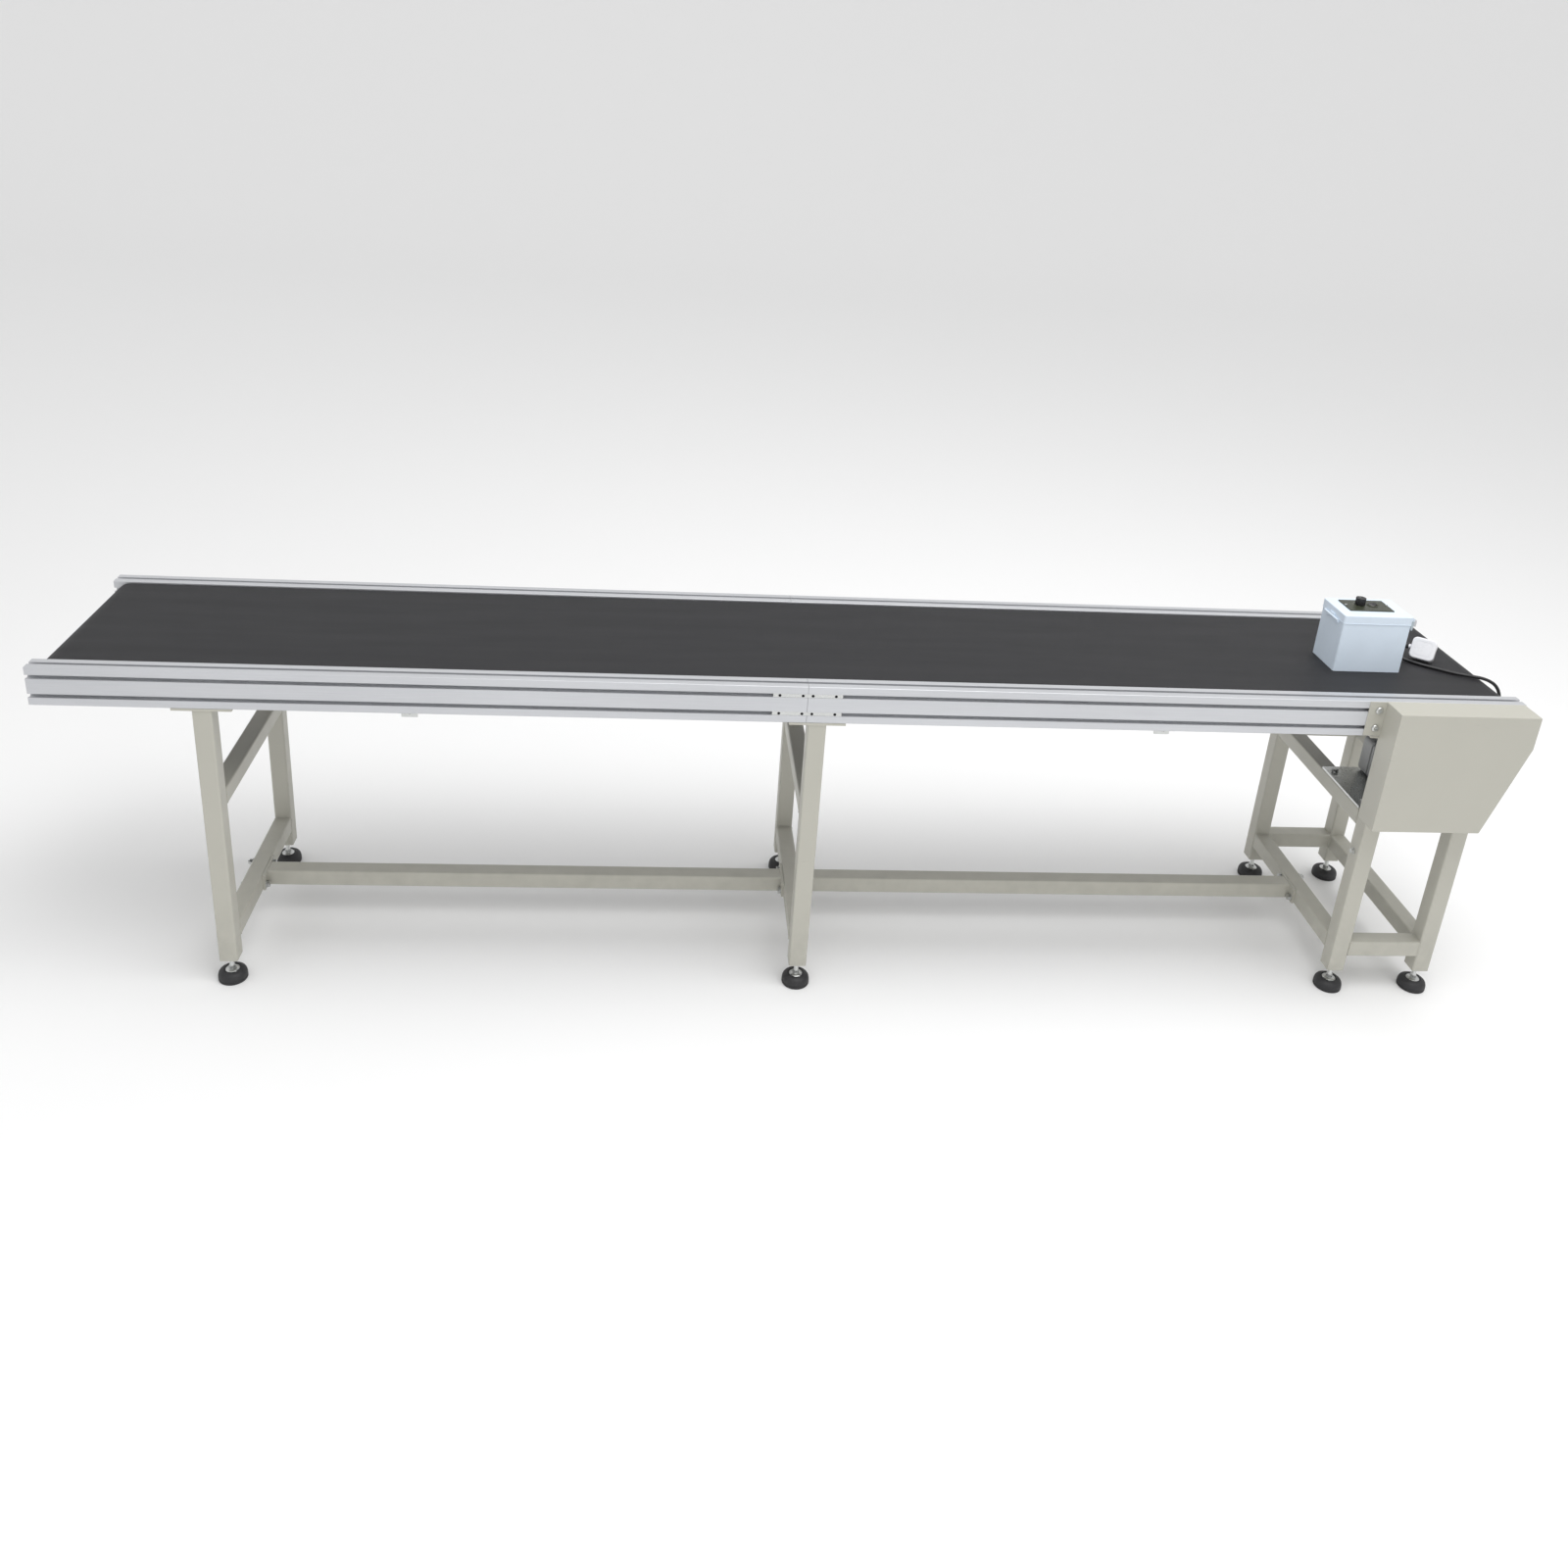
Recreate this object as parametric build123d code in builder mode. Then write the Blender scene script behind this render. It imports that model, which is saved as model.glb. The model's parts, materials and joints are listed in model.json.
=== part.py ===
from build123d import *
import os
from math import atan2, cos, pi, radians, sin, sqrt, tan

# Flat-belt conveyor section on a welded floor stand, in millimetres.
# +X runs along the belt from the tail end to the drive end, -Y is the side of the drive cover
# and +Z is up from the floor.  The origin is the middle of the footprint, on the floor.

# ---- overall sizes ----
frame_length = 3000.0      # over the side rails
frame_width = 480.0        # over the side rails
rail_top = 730.0           # floor to the top of the side rails

# ---- side rails: slotted aluminium profile in two lengths a side ----
rail_w = 40.0
rail_h = 80.0
rail_gap = 0.6             # the joint line between the two lengths of a rail
cell = 40.0                # pitch of the slots up the side of the profile
slot_half = 4.1            # half of a slot's mouth
slot_lip = 4.5             # thickness of the lip beside the mouth
slot_room = 8.2            # half of the slot's width behind the lip
slot_depth = 12.0
core_r = 3.4               # core hole, the tapping size of M8
core_void_w, core_void_h = 24.0, 14.0

# ---- fits ----
run_gap = 0.05             # radial clearance of a shaft or screw in its hole
soft_gap = 0.3             # room between curved faces that only lie near each other
bolt_gap = 0.4             # radial room of a clearance hole round its bolt

# ---- belt, bed and rollers ----
roller_r = 35.0
roller_wall = 3.0
roller_side_gap = 4.0      # end of a drum to the rail
axis_drop = 40.0           # rail top down to the end rollers' axes
axis_inset = 40.0          # end of the rails to the end rollers' axes
belt_t = 2.0
belt_side_gap = 3.0
bed_t = 2.0
tie_w, tie_h = 40.0, 20.0
tie_count = 7
drum_disc_t = 6.0
shaft_r = 10.0
stub_r = 6.0               # the tail shaft's ends
bearing_r = 21.0
bearing_w = 12.0
take_up_travel = 25.0
block_l, block_h = 24.0, 22.0
return_r = 16.0
return_pin_r = 5.0
bracket_t = 4.0

# ---- stand ----
tube = 38.0
tube_wall = 2.0
tube_corner = 4.0
weld = 3.0
leg_bottom = 55.0          # floor to the underside of the legs
leg_inset = 1.0            # outer face of the rails in to the legs
leg_plate_l, leg_plate_t = 115.0, 5.0
plate_bolt_reach = 42.0    # leg's centre to each bolt of its top plate
tail_leg_x = -1180.0
middle_leg_x = 23.0
drive_leg_pitch = 199.0
drive_leg_inset = 61.0     # end of the rails to the centre of the last legs
upper_bar_drop = 278.0     # rail top down to the top of the upper bars
lower_bar_low = 94.0       # floor to the underside of the lower bars
end_plate_t = 5.0
end_plate_edge = 11.0      # bolts of a stretcher's end plate to its upright edges
stretcher_bolt_out = 10.0  # side of a stretcher's tube out to those bolts
stretcher_bolt_z = 9.0
pad_r = 30.0
stud_r = 5.0

# ---- bolts ----
bolt_r = 4.0
bolt_hex = 7.5             # centre to corner
bolt_head = 5.5
washer_r, washer_t = 8.5, 1.6

# ---- drive ----
cover_depth = 60.0
cover_length = 299.0
cover_drop = 274.0
cover_nose = 72.0          # height of the cover's vertical end
cover_slant = 64.0         # how far the slanted end runs back
cover_end_inset = 2.0
cover_t = 1.5
cover_bend = 2.0
back_plate_t = 2.0
tab_l = 36.0
pulley_centres = 208.0     # motor's output shaft to the drive roller's shaft
datum_r = 25.5             # both V pulleys, at their belt's datum line
v_rise = 2.0               # datum line to the top of the V belt
v_w, v_h = 10.0, 6.0       # the V belt's top width and height
v_lean = 18.0              # degrees, each side of the V
groove_spare = 1.0         # room under the belt in its groove
rim_spare = 0.5            # rim of the pulley over the top of the belt
rim_w = 16.0
hub_r, hub_l = 12.0, 5.0
gearbox_s, gearbox_l = 90.0, 70.0
motor_l = 110.0
gearbox_front = 24.0       # rail's outer face back to the gearbox
output_r = 7.5
output_rise = 18.0         # output shaft above the gearbox's centre
motor_plate_t = 5.0

# ---- control box ----
box_l, box_w = 150.0, 100.0
case_h = 111.3
lid_h = 19.0
lid_over = 1.0
lid_seam = 0.4
box_wall = 2.5
box_end_inset = 198.0      # end of the rails to the box's near face
box_front = 92.0           # belt's centre line out to the box's front face
panel_l, panel_w, panel_t = 98.0, 58.0, 2.5
module_l, module_w, module_h = 86.0, 46.0, 58.0
knob_r, knob_h = 10.5, 15.0
rocker_r = 8.3
rocker_tilt = 8.0
hinge_r = 2.5
hinge_pin_r = 1.0

# ---- cords and plug ----
cord_d = 7.0
coil_mid_r = 39.0          # middle of the turns
coil_layers = 2
coil_across = 3
plug_l, plug_w, plug_t = 50.0, 48.0, 22.0
plug_turn = 38.0           # the plug's length turned towards the front
pin_l, earth_pin_l = 17.7, 22.7
pin_w, pin_t = 6.4, 4.0
pin_spread = 11.1

# ---- places worked out from the sizes ----
rail_mid = frame_width / 2 - rail_w / 2
inner_face = frame_width / 2 - rail_w
front_reach = frame_width / 2 + cover_depth
leg_y = frame_width / 2 - leg_inset - tube / 2
back_reach = leg_y + pad_r
mid_y = (front_reach - back_reach) / 2
rail_bottom = rail_top - rail_h
rail_z = rail_top - rail_h / 2
axis_z = rail_top - axis_drop
tail_x = -frame_length / 2 + axis_inset
drive_x = frame_length / 2 - axis_inset
belt_in_r = roller_r + soft_gap
belt_out_r = belt_in_r + belt_t
belt_top = axis_z + belt_out_r
belt_w = 2 * (inner_face - belt_side_gap)
bed_top = axis_z + belt_in_r
bed_x0 = tail_x + roller_r + take_up_travel + 10.0
bed_x1 = drive_x - roller_r - 10.0
drum_half = inner_face - roller_side_gap
leg_top = rail_bottom - leg_plate_t
upper_bar_top = rail_top - upper_bar_drop
upper_bar_z = upper_bar_top - tube / 2
lower_bar_z = lower_bar_low + tube / 2
stretcher_bolt_y = tube / 2 + stretcher_bolt_out
end_plate_w = 2 * (stretcher_bolt_y + end_plate_edge)
outer_leg_x = frame_length / 2 - drive_leg_inset
inner_leg_x = outer_leg_x - drive_leg_pitch
v_top_r = datum_r + v_rise
rim_r = v_top_r + rim_spare
return_places = {"tail": -frame_length / 4 - 40.0, "drive": frame_length / 4}
motor_z = upper_bar_top + motor_plate_t + gearbox_s / 2 + output_rise
motor_x = drive_x - sqrt(pulley_centres**2 - (axis_z - motor_z) ** 2)
front_y = mid_y - frame_width / 2
box_x = frame_length / 2 - box_end_inset - box_l / 2
box_y = mid_y - box_front + box_w / 2
case_top = belt_top + case_h
lid_z = case_top + lid_seam
lid_top = lid_z + lid_h
panel_x, panel_y = box_x - 2.5, box_y + 6.0
panel_top = lid_top + panel_t
knob_x, knob_y = panel_x - 13.0, panel_y + 3.0
rocker_x, rocker_y = panel_x + 15.0, panel_y + 2.0

T_SLOT = [(-1, -slot_half), (slot_lip, -slot_half), (slot_lip, -slot_room), (slot_depth, -4.0),
          (slot_depth, 4.0), (slot_lip, slot_room), (slot_lip, slot_half), (-1, slot_half)]
SIDES = (("front", -1), ("back", 1))
os.makedirs("parts", exist_ok=True)


def save(builder, label):
    builder.part.label = label
    export_step(builder.part, f"parts/{label}.step")


def facing(y):
    """A plane across Y at the given y, whose normal points at the front."""
    return Plane.XZ.offset(-y)


def slot_places():
    """Mouths of the six slots round a profile centred on the origin of its sketch."""
    half_w, half_h, off = rail_w / 2, rail_h / 2, cell / 2
    sides = [Location((s * half_w, t * off, 0), (0, 0, 90 + 90 * s)) for s in (-1, 1) for t in (-1, 1)]
    ends = [Location((0, t * half_h, 0), (0, 0, -90 * t)) for t in (-1, 1)]
    return sides + ends


def peg(plane, r, length, mode=Mode.ADD):
    with BuildSketch(plane) as outline:
        Circle(r)
    extrude(outline.sketch, amount=length, mode=mode)


def hexagon(plane, r, length, mode=Mode.ADD):
    with BuildSketch(plane) as outline:
        RegularPolygon(r, 6)
    extrude(outline.sketch, amount=length, mode=mode)


def block(low, high, mode=Mode.ADD):
    size = [h - l for l, h in zip(low, high)]
    middle = [(l + h) / 2 for l, h in zip(low, high)]
    with Locations(tuple(middle)):
        Box(*size, mode=mode)


def square_tube(plane, length):
    with BuildSketch(plane) as outline:
        RectangleRounded(tube, tube, tube_corner)
        RectangleRounded(tube - 2 * tube_wall, tube - 2 * tube_wall, tube_corner - tube_wall,
                         mode=Mode.SUBTRACT)
    extrude(outline.sketch, amount=length)


def at(x, y, z, direction, across=(0, 0, 1)):
    """A plane at a point, with its normal along direction."""
    return Plane((x, y, z), x_dir=across, z_dir=direction)


# ---- side rails ----
half_rail = (frame_length - rail_gap) / 2
for end, start in (("tail", -frame_length / 2), ("drive", rail_gap / 2)):
    for side_name, side in SIDES:
        face = mid_y + side * inner_face
        with BuildPart() as rail:
            with BuildSketch(Plane.YZ.offset(start)):
                with Locations((mid_y + side * rail_mid, rail_z)):
                    RectangleRounded(rail_w, rail_h, 1.5)
                    with Locations(*slot_places()):
                        Polygon(*T_SLOT, align=None, mode=Mode.SUBTRACT)
                    with Locations((0, cell / 2), (0, -cell / 2)):
                        Circle(core_r, mode=Mode.SUBTRACT)
                    RectangleRounded(core_void_w, core_void_h, 2.0, mode=Mode.SUBTRACT)
            extrude(amount=half_rail)
            if end == "tail":
                pocket_x0 = tail_x - block_l / 2 - 1.0
                pocket_x1 = tail_x + block_l / 2 + take_up_travel + 1.0
                depth = rail_w - 8.5
                far_y = face + side * depth
                half_pocket = block_h / 2 + soft_gap
                block((pocket_x0, min(face, far_y), axis_z - half_pocket),
                      (pocket_x1, max(face, far_y), axis_z + half_pocket), Mode.SUBTRACT)
            else:
                inward = at(drive_x, face, axis_z, (0, side, 0))
                peg(inward, bearing_r + run_gap, bearing_w, Mode.SUBTRACT)
                peg(inward, shaft_r + 1.0, rail_w if side < 0 else bearing_w + 4.0, Mode.SUBTRACT)
        save(rail, f"rail_{side_name}_{end}")

# ---- slot connectors across the rail joint, with their grub screws ----
connector_l = 140.0
grub_r, grub_top = 3.0, 1.2
grub_offsets = (-56.5, -10.0, 10.0, 56.5)
CONNECTOR = [(0.4, -3.8), (4.8, -3.8), (4.8, -7.2), (9.3, -4.8), (9.3, 4.8), (4.8, 7.2), (4.8, 3.8),
             (0.4, 3.8)]
slot_lines = [(side, rail_z + t * cell / 2) for _, side in SIDES for t in (-1, 1)]
with BuildPart() as connectors:
    for side, z in slot_lines:
        face = mid_y + side * frame_width / 2
        with BuildSketch(Plane.YZ.offset(-connector_l / 2)):
            with Locations(Location((face, z, 0), (0, 0, 90 + 90 * side))):
                Polygon(*CONNECTOR, align=None)
        extrude(amount=connector_l)
        for x in grub_offsets:
            peg(at(x, face, z, (0, -side, 0)), grub_r + run_gap, slot_depth, Mode.SUBTRACT)
save(connectors, "slot_connectors")

with BuildPart() as grubs:
    for side, z in slot_lines:
        for x in grub_offsets:
            outer = at(x, mid_y + side * (frame_width / 2 - grub_top), z, (0, -side, 0))
            peg(outer, grub_r, slot_depth - grub_top)
            hexagon(outer, 1.75, 3.0, Mode.SUBTRACT)
save(grubs, "connector_grub_screws")

# ---- slider bed and its cross ties ----
with BuildPart() as bed:
    for x0, x1 in ((bed_x0, -rail_gap / 2), (rail_gap / 2, bed_x1)):
        block((x0, mid_y - belt_w / 2 + 2, bed_top - bed_t), (x1, mid_y + belt_w / 2 - 2, bed_top))
save(bed, "slider_bed")

tie_top = bed_top - bed_t
tie_pitch = (bed_x1 - bed_x0 - 2 * tie_w) / (tie_count - 1)
tie_places = [bed_x0 + tie_w + i * tie_pitch for i in range(tie_count)]
with BuildPart() as ties:
    for x in tie_places:
        block((x - tie_w / 2, mid_y - inner_face, tie_top - tie_h),
              (x + tie_w / 2, mid_y + inner_face, tie_top))
save(ties, "bed_cross_ties")

# ---- conveyor belt: two runs and two wraps that meet face to face ----
with BuildPart() as belt:
    with BuildSketch(facing(mid_y + belt_w / 2)):
        with Locations(((tail_x + drive_x) / 2, axis_z)):
            SlotCenterToCenter(drive_x - tail_x, 2 * belt_out_r)
            SlotCenterToCenter(drive_x - tail_x, 2 * belt_in_r, mode=Mode.SUBTRACT)
    extrude(amount=belt_w)
    for x in (tail_x, drive_x):
        split(bisect_by=Plane.YZ.offset(x), keep=Keep.BOTH)
save(belt, "conveyor_belt")


def drum(x, bore_r, label):
    with BuildPart() as shell:
        back = at(x, mid_y + drum_half, axis_z, (0, -1, 0))
        peg(back, roller_r, 2 * drum_half)
        inner = at(x, mid_y + drum_half - drum_disc_t, axis_z, (0, -1, 0))
        peg(inner, roller_r - roller_wall, 2 * (drum_half - drum_disc_t), Mode.SUBTRACT)
        peg(back, bore_r, 2 * drum_half, Mode.SUBTRACT)
    save(shell, label)


# ---- tail roller and its take-up ----
drum(tail_x, shaft_r + run_gap, "tail_drum")
stub_end = inner_face + 16.0
shaft_half = drum_half + 1.5
with BuildPart() as tail_shaft:
    peg(at(tail_x, mid_y + shaft_half, axis_z, (0, -1, 0)), shaft_r, 2 * shaft_half)
    peg(at(tail_x, mid_y + stub_end, axis_z, (0, -1, 0)), stub_r, 2 * stub_end)
    chamfer(tail_shaft.edges().filter_by(GeomType.CIRCLE).group_by(Axis.Y)[-1], 0.8)
    chamfer(tail_shaft.edges().filter_by(GeomType.CIRCLE).group_by(Axis.Y)[0], 0.8)
save(tail_shaft, "tail_shaft")

screw_r, screw_head_r, screw_head_l = 4.0, 6.5, 8.0
screw_head_x = -frame_length / 2 + 4.0
thrust_l = 10.0
thrust_x = screw_head_x + screw_head_l
screw_end = tail_x + block_l / 2 + take_up_travel + 3.0
with BuildPart() as blocks:
    for _, side in SIDES:
        near = mid_y + side * (inner_face + 0.5)
        far = mid_y + side * (inner_face + rail_w - 9.0)
        block((tail_x - block_l / 2, min(near, far), axis_z - block_h / 2),
              (tail_x + block_l / 2, max(near, far), axis_z + block_h / 2))
        peg(at(tail_x, near, axis_z, (0, side, 0)), stub_r + run_gap, stub_end - inner_face,
            Mode.SUBTRACT)
        peg(at(tail_x - block_l, mid_y + side * (rail_mid + 4.0), axis_z, (1, 0, 0)),
            screw_r + run_gap, 2 * block_l, Mode.SUBTRACT)
save(blocks, "take_up_blocks")

with BuildPart() as thrust:
    for _, side in SIDES:
        y = mid_y + side * rail_mid
        block((thrust_x, y - core_void_w / 2, axis_z - core_void_h / 2),
              (thrust_x + thrust_l, y + core_void_w / 2, axis_z + core_void_h / 2))
        peg(at(thrust_x - 1, y + side * 4.0, axis_z, (1, 0, 0)), screw_r + run_gap, 2 * thrust_l,
            Mode.SUBTRACT)
    fillet(thrust.edges().filter_by(Axis.X), 2.0)
save(thrust, "take_up_thrust_blocks")

for side_name, side in SIDES:
    head = at(screw_head_x, mid_y + side * (rail_mid + 4.0), axis_z, (1, 0, 0))
    with BuildPart() as screw:
        peg(head, screw_head_r, screw_head_l)
        peg(head, screw_r, screw_end - screw_head_x)
        hexagon(head, 3.4, 5.0, Mode.SUBTRACT)
    save(screw, f"take_up_screw_{side_name}")

# ---- drive roller ----
drum(drive_x, shaft_r + run_gap, "drive_drum")
pulley_y = front_y - back_plate_t - 8.0       # back of both V pulleys' hubs
pulley_l = hub_l + rim_w
groove_y = pulley_y - hub_l - rim_w / 2
with BuildPart() as drive_shaft:
    shaft_back = mid_y + inner_face + bearing_w + 2.0
    peg(at(drive_x, shaft_back, axis_z, (0, -1, 0)), shaft_r, shaft_back - pulley_y + pulley_l + 3.0)
    chamfer(drive_shaft.edges().filter_by(GeomType.CIRCLE), 1.0)
save(drive_shaft, "drive_shaft")

with BuildPart() as bearings:
    for _, side in SIDES:
        inward = at(drive_x, mid_y + side * inner_face, axis_z, (0, side, 0))
        peg(inward, bearing_r, bearing_w)
        peg(inward, shaft_r + run_gap, bearing_w, Mode.SUBTRACT)
        for depth in (0.0, bearing_w - 1.0):
            seal = at(drive_x, mid_y + side * (inner_face + depth), axis_z, (0, side, 0))
            with BuildSketch(seal):
                Circle(bearing_r - 3.0)
                Circle(shaft_r + 3.0, mode=Mode.SUBTRACT)
            extrude(amount=1.0, mode=Mode.SUBTRACT)
save(bearings, "drive_bearings")


# ---- V pulleys and the drive belt that runs in their grooves ----
run_x, run_z = drive_x - motor_x, axis_z - motor_z


def half_v(r, gap):
    """Half of the V's width at a radius, with its sides moved out by gap."""
    lean = radians(v_lean)
    return v_w / 2 - (v_top_r - r) * tan(lean) + gap / cos(lean)


def v_shape(plane, low, high, gap):
    """The V between two radii, in a sketch on a plane whose Y points away from the pulley's axis."""
    with BuildSketch(plane) as shape:
        Polygon((-half_v(low, gap), low), (half_v(low, gap), low),
                (half_v(high, gap), high), (-half_v(high, gap), high), align=None)
    return shape.sketch


def v_pulley(x, z, bore_r, label):
    with BuildPart() as pulley:
        peg(at(x, pulley_y, z, (0, -1, 0)), hub_r, pulley_l)
        peg(at(x, pulley_y - hub_l, z, (0, -1, 0)), rim_r, rim_w)
        chamfer(pulley.edges().filter_by(GeomType.CIRCLE).group_by(SortBy.RADIUS)[-1], 0.5)
        groove = v_shape(at(x, groove_y, z, (1, 0, 0), (0, -1, 0)), v_top_r - v_h - groove_spare,
                         rim_r + 1.0, soft_gap)
        revolve(groove, axis=Axis((x, groove_y, z), (0, -1, 0)), mode=Mode.SUBTRACT)
        peg(at(x, pulley_y, z, (0, -1, 0)), bore_r + run_gap, pulley_l, Mode.SUBTRACT)
    save(pulley, label)


v_pulley(drive_x, axis_z, shaft_r, "driven_pulley")
v_pulley(motor_x, motor_z, output_r, "motor_pulley")

with BuildPart() as v_belt:
    for x, z, way in ((motor_x, motor_z, -1), (drive_x, axis_z, 1)):
        start = at(x, groove_y, z, (way * run_x, 0, way * run_z), (0, -1, 0))
        section = v_shape(start, v_top_r - v_h, v_top_r, 0)
        revolve(section, axis=Axis((x, groove_y, z), (0, -1, 0)), revolution_arc=180)
        extrude(section, amount=-pulley_centres)
save(v_belt, "drive_v_belt")

# ---- gear motor on its plate ----
gearbox_y = front_y + gearbox_front
gearbox_z = upper_bar_top + motor_plate_t + gearbox_s / 2
with BuildPart() as gearbox:
    with BuildSketch(facing(gearbox_y + gearbox_l)):
        with Locations((motor_x, gearbox_z)):
            RectangleRounded(gearbox_s, gearbox_s, 7.0)
    extrude(amount=gearbox_l)
    peg(at(motor_x, gearbox_y, motor_z, (0, -1, 0)), 17.0, 6.0)
    chamfer(gearbox.faces().sort_by(Axis.Y)[0].edges(), 1.0)
    peg(at(motor_x, gearbox_y - 6.0, motor_z, (0, 1, 0)), output_r + run_gap, 40.0, Mode.SUBTRACT)
save(gearbox, "gearbox")

with BuildPart() as output_shaft:
    shaft_in = gearbox_y + 30.0
    peg(at(motor_x, shaft_in, motor_z, (0, -1, 0)), output_r, shaft_in - pulley_y + pulley_l + 3.0)
    chamfer(output_shaft.edges().filter_by(GeomType.CIRCLE), 1.0)
save(output_shaft, "output_shaft")

terminal_x, terminal_l, terminal_h = 22.0, 50.0, 30.0
motor_y0 = gearbox_y + gearbox_l
terminal_y = motor_y0 + 45.0
terminal_z = gearbox_z + 8.0
with BuildPart() as motor:
    with BuildSketch(facing(motor_y0 + motor_l)):
        with Locations((motor_x, gearbox_z)):
            RectangleRounded(gearbox_s - 4, gearbox_s - 4, 12.0)
    extrude(amount=motor_l)
    for i in range(6):
        y = motor_y0 + 14.0 + i * 11.0
        with BuildSketch(facing(y + 6.0)) as fin_gap:
            with Locations((motor_x, gearbox_z)):
                RectangleRounded(gearbox_s, gearbox_s, 7.0)
                RectangleRounded(gearbox_s - 10, gearbox_s - 10, 9.0, mode=Mode.SUBTRACT)
        extrude(fin_gap.sketch, amount=6.0, mode=Mode.SUBTRACT)
    side_x = motor_x + gearbox_s / 2 - 6.0
    block((side_x, terminal_y - terminal_l / 2, terminal_z - terminal_h / 2),
          (side_x + terminal_x + 6.0, terminal_y + terminal_l / 2, terminal_z + terminal_h / 2))
    peg(at(side_x + terminal_x + 6.0, terminal_y, terminal_z, (1, 0, 0)), 8.0, 12.0)
motor_gland_x = side_x + terminal_x + 18.0
save(motor, "drive_motor")

plate_y0, plate_y1 = mid_y - leg_y + tube / 2 + 2.0, motor_y0 + motor_l + 10.0
plate_corners = [(x, y) for x in (inner_leg_x, outer_leg_x) for y in (plate_y0 + 20, plate_y1 - 20)]
with BuildPart() as motor_plate:
    block((inner_leg_x - tube / 2, plate_y0, upper_bar_top),
          (outer_leg_x + tube / 2, plate_y1, upper_bar_top + motor_plate_t))
    for x, y in plate_corners:
        peg(at(x, y, upper_bar_top, (0, 0, 1), (1, 0, 0)), bolt_r + bolt_gap, 10.0, Mode.SUBTRACT)
save(motor_plate, "motor_plate")

# ---- drive cover, its back plate and screws ----
cover_x1 = frame_length / 2 - cover_end_inset
cover_x0 = cover_x1 - cover_length
COVER = [(cover_x0, rail_top), (cover_x1, rail_top), (cover_x1, rail_top - cover_nose),
         (cover_x1 - cover_slant, rail_top - cover_drop), (cover_x0, rail_top - cover_drop)]
tab_screws = [(cover_x0 - tab_l / 2 + 4.0, rail_z + t * cell / 2) for t in (-1, 1)]
button_r, button_h = 8.0, 4.6
with BuildPart() as cover:
    with BuildSketch(facing(front_y)):
        Polygon(*COVER, align=None)
    extrude(amount=cover_depth)
    fillet(cover.edges().filter_by(Axis.Y), cover_bend)
    fillet(cover.faces().sort_by(Axis.Y)[0].edges(), cover_bend - 0.5)
    with BuildSketch(facing(front_y)) as room:
        Polygon(*COVER, align=None)
        offset(amount=-cover_t, kind=Kind.INTERSECTION, mode=Mode.REPLACE)
    extrude(room.sketch, amount=cover_depth - cover_t, mode=Mode.SUBTRACT)
    block((cover_x0 - tab_l, front_y - cover_t, rail_bottom + 2),
          (cover_x0 + 1.0, front_y, rail_top - 0.6))
    for x, z in tab_screws:
        peg(at(x, front_y, z, (0, -1, 0)), bolt_r + bolt_gap, 10.0, Mode.SUBTRACT)
save(cover, "drive_cover")

with BuildPart() as back_plate:
    with BuildSketch(facing(front_y)) as plate_outline:
        Polygon(*COVER, align=None)
        offset(amount=-cover_t - 0.8, kind=Kind.INTERSECTION, mode=Mode.REPLACE)
        with Locations((drive_x, axis_z)):
            Circle(shaft_r + 4.0, mode=Mode.SUBTRACT)
        with Locations((motor_x, motor_z)):
            Circle(output_r + 6.0, mode=Mode.SUBTRACT)
    extrude(plate_outline.sketch, amount=back_plate_t)
save(back_plate, "cover_back_plate")

nut_l, nut_half, nut_t = 18.0, 5.8, 3.8
with BuildPart() as cover_screws:
    for x, z in tab_screws:
        out = at(x, front_y - cover_t, z, (0, -1, 0))
        peg(out, button_r, button_h)
        rims = cover_screws.edges().filter_by(GeomType.CIRCLE).group_by(Axis.Y)[0]
        fillet(rims.filter_by(lambda rim, z=z: abs(rim.arc_center.Z - z) < 1), 3.2)
        peg(at(x, front_y - cover_t - button_h, z, (0, 1, 0)), bolt_r, cover_t + button_h + 10.0)
        hexagon(at(x, front_y - cover_t - button_h, z, (0, 1, 0)), 2.9, 2.6, Mode.SUBTRACT)
    for x, z in tab_screws:
        nut_y = front_y + slot_lip + 0.1
        with BuildSketch(facing(nut_y + nut_t)) as nut:
            with Locations((x, z)):
                Rectangle(nut_l, 2 * nut_half)
                Circle(bolt_r + run_gap, mode=Mode.SUBTRACT)
        extrude(nut.sketch, amount=nut_t)
save(cover_screws, "cover_screws")


# ---- welded frames of the stand ----
def legs(places):
    for x in places:
        for _, side in SIDES:
            y = mid_y + side * leg_y
            square_tube(at(x, y, leg_bottom, (0, 0, 1), (1, 0, 0)), leg_top - leg_bottom)
            inside = tube / 2 - tube_wall
            block((x - inside, y - inside, leg_bottom), (x + inside, y + inside, leg_bottom + 6.0))
            peg(at(x, y, leg_bottom, (0, 0, 1), (1, 0, 0)), stud_r + run_gap, 6.0, Mode.SUBTRACT)


def top_plates(places):
    for x in places:
        for _, side in SIDES:
            y = mid_y + side * rail_mid
            block((x - leg_plate_l / 2, y - rail_w / 2, leg_top),
                  (x + leg_plate_l / 2, y + rail_w / 2, rail_bottom))
            for reach in (-plate_bolt_reach, plate_bolt_reach):
                peg(at(x + reach, y, leg_top, (0, 0, 1), (1, 0, 0)), bolt_r + bolt_gap, 9.0,
                    Mode.SUBTRACT)


def cross_bars(places):
    reach = leg_y - tube / 2
    for x in places:
        for z in (upper_bar_z, lower_bar_z):
            square_tube(at(x, mid_y - reach, z, (0, 1, 0), (1, 0, 0)), 2 * reach)


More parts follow.
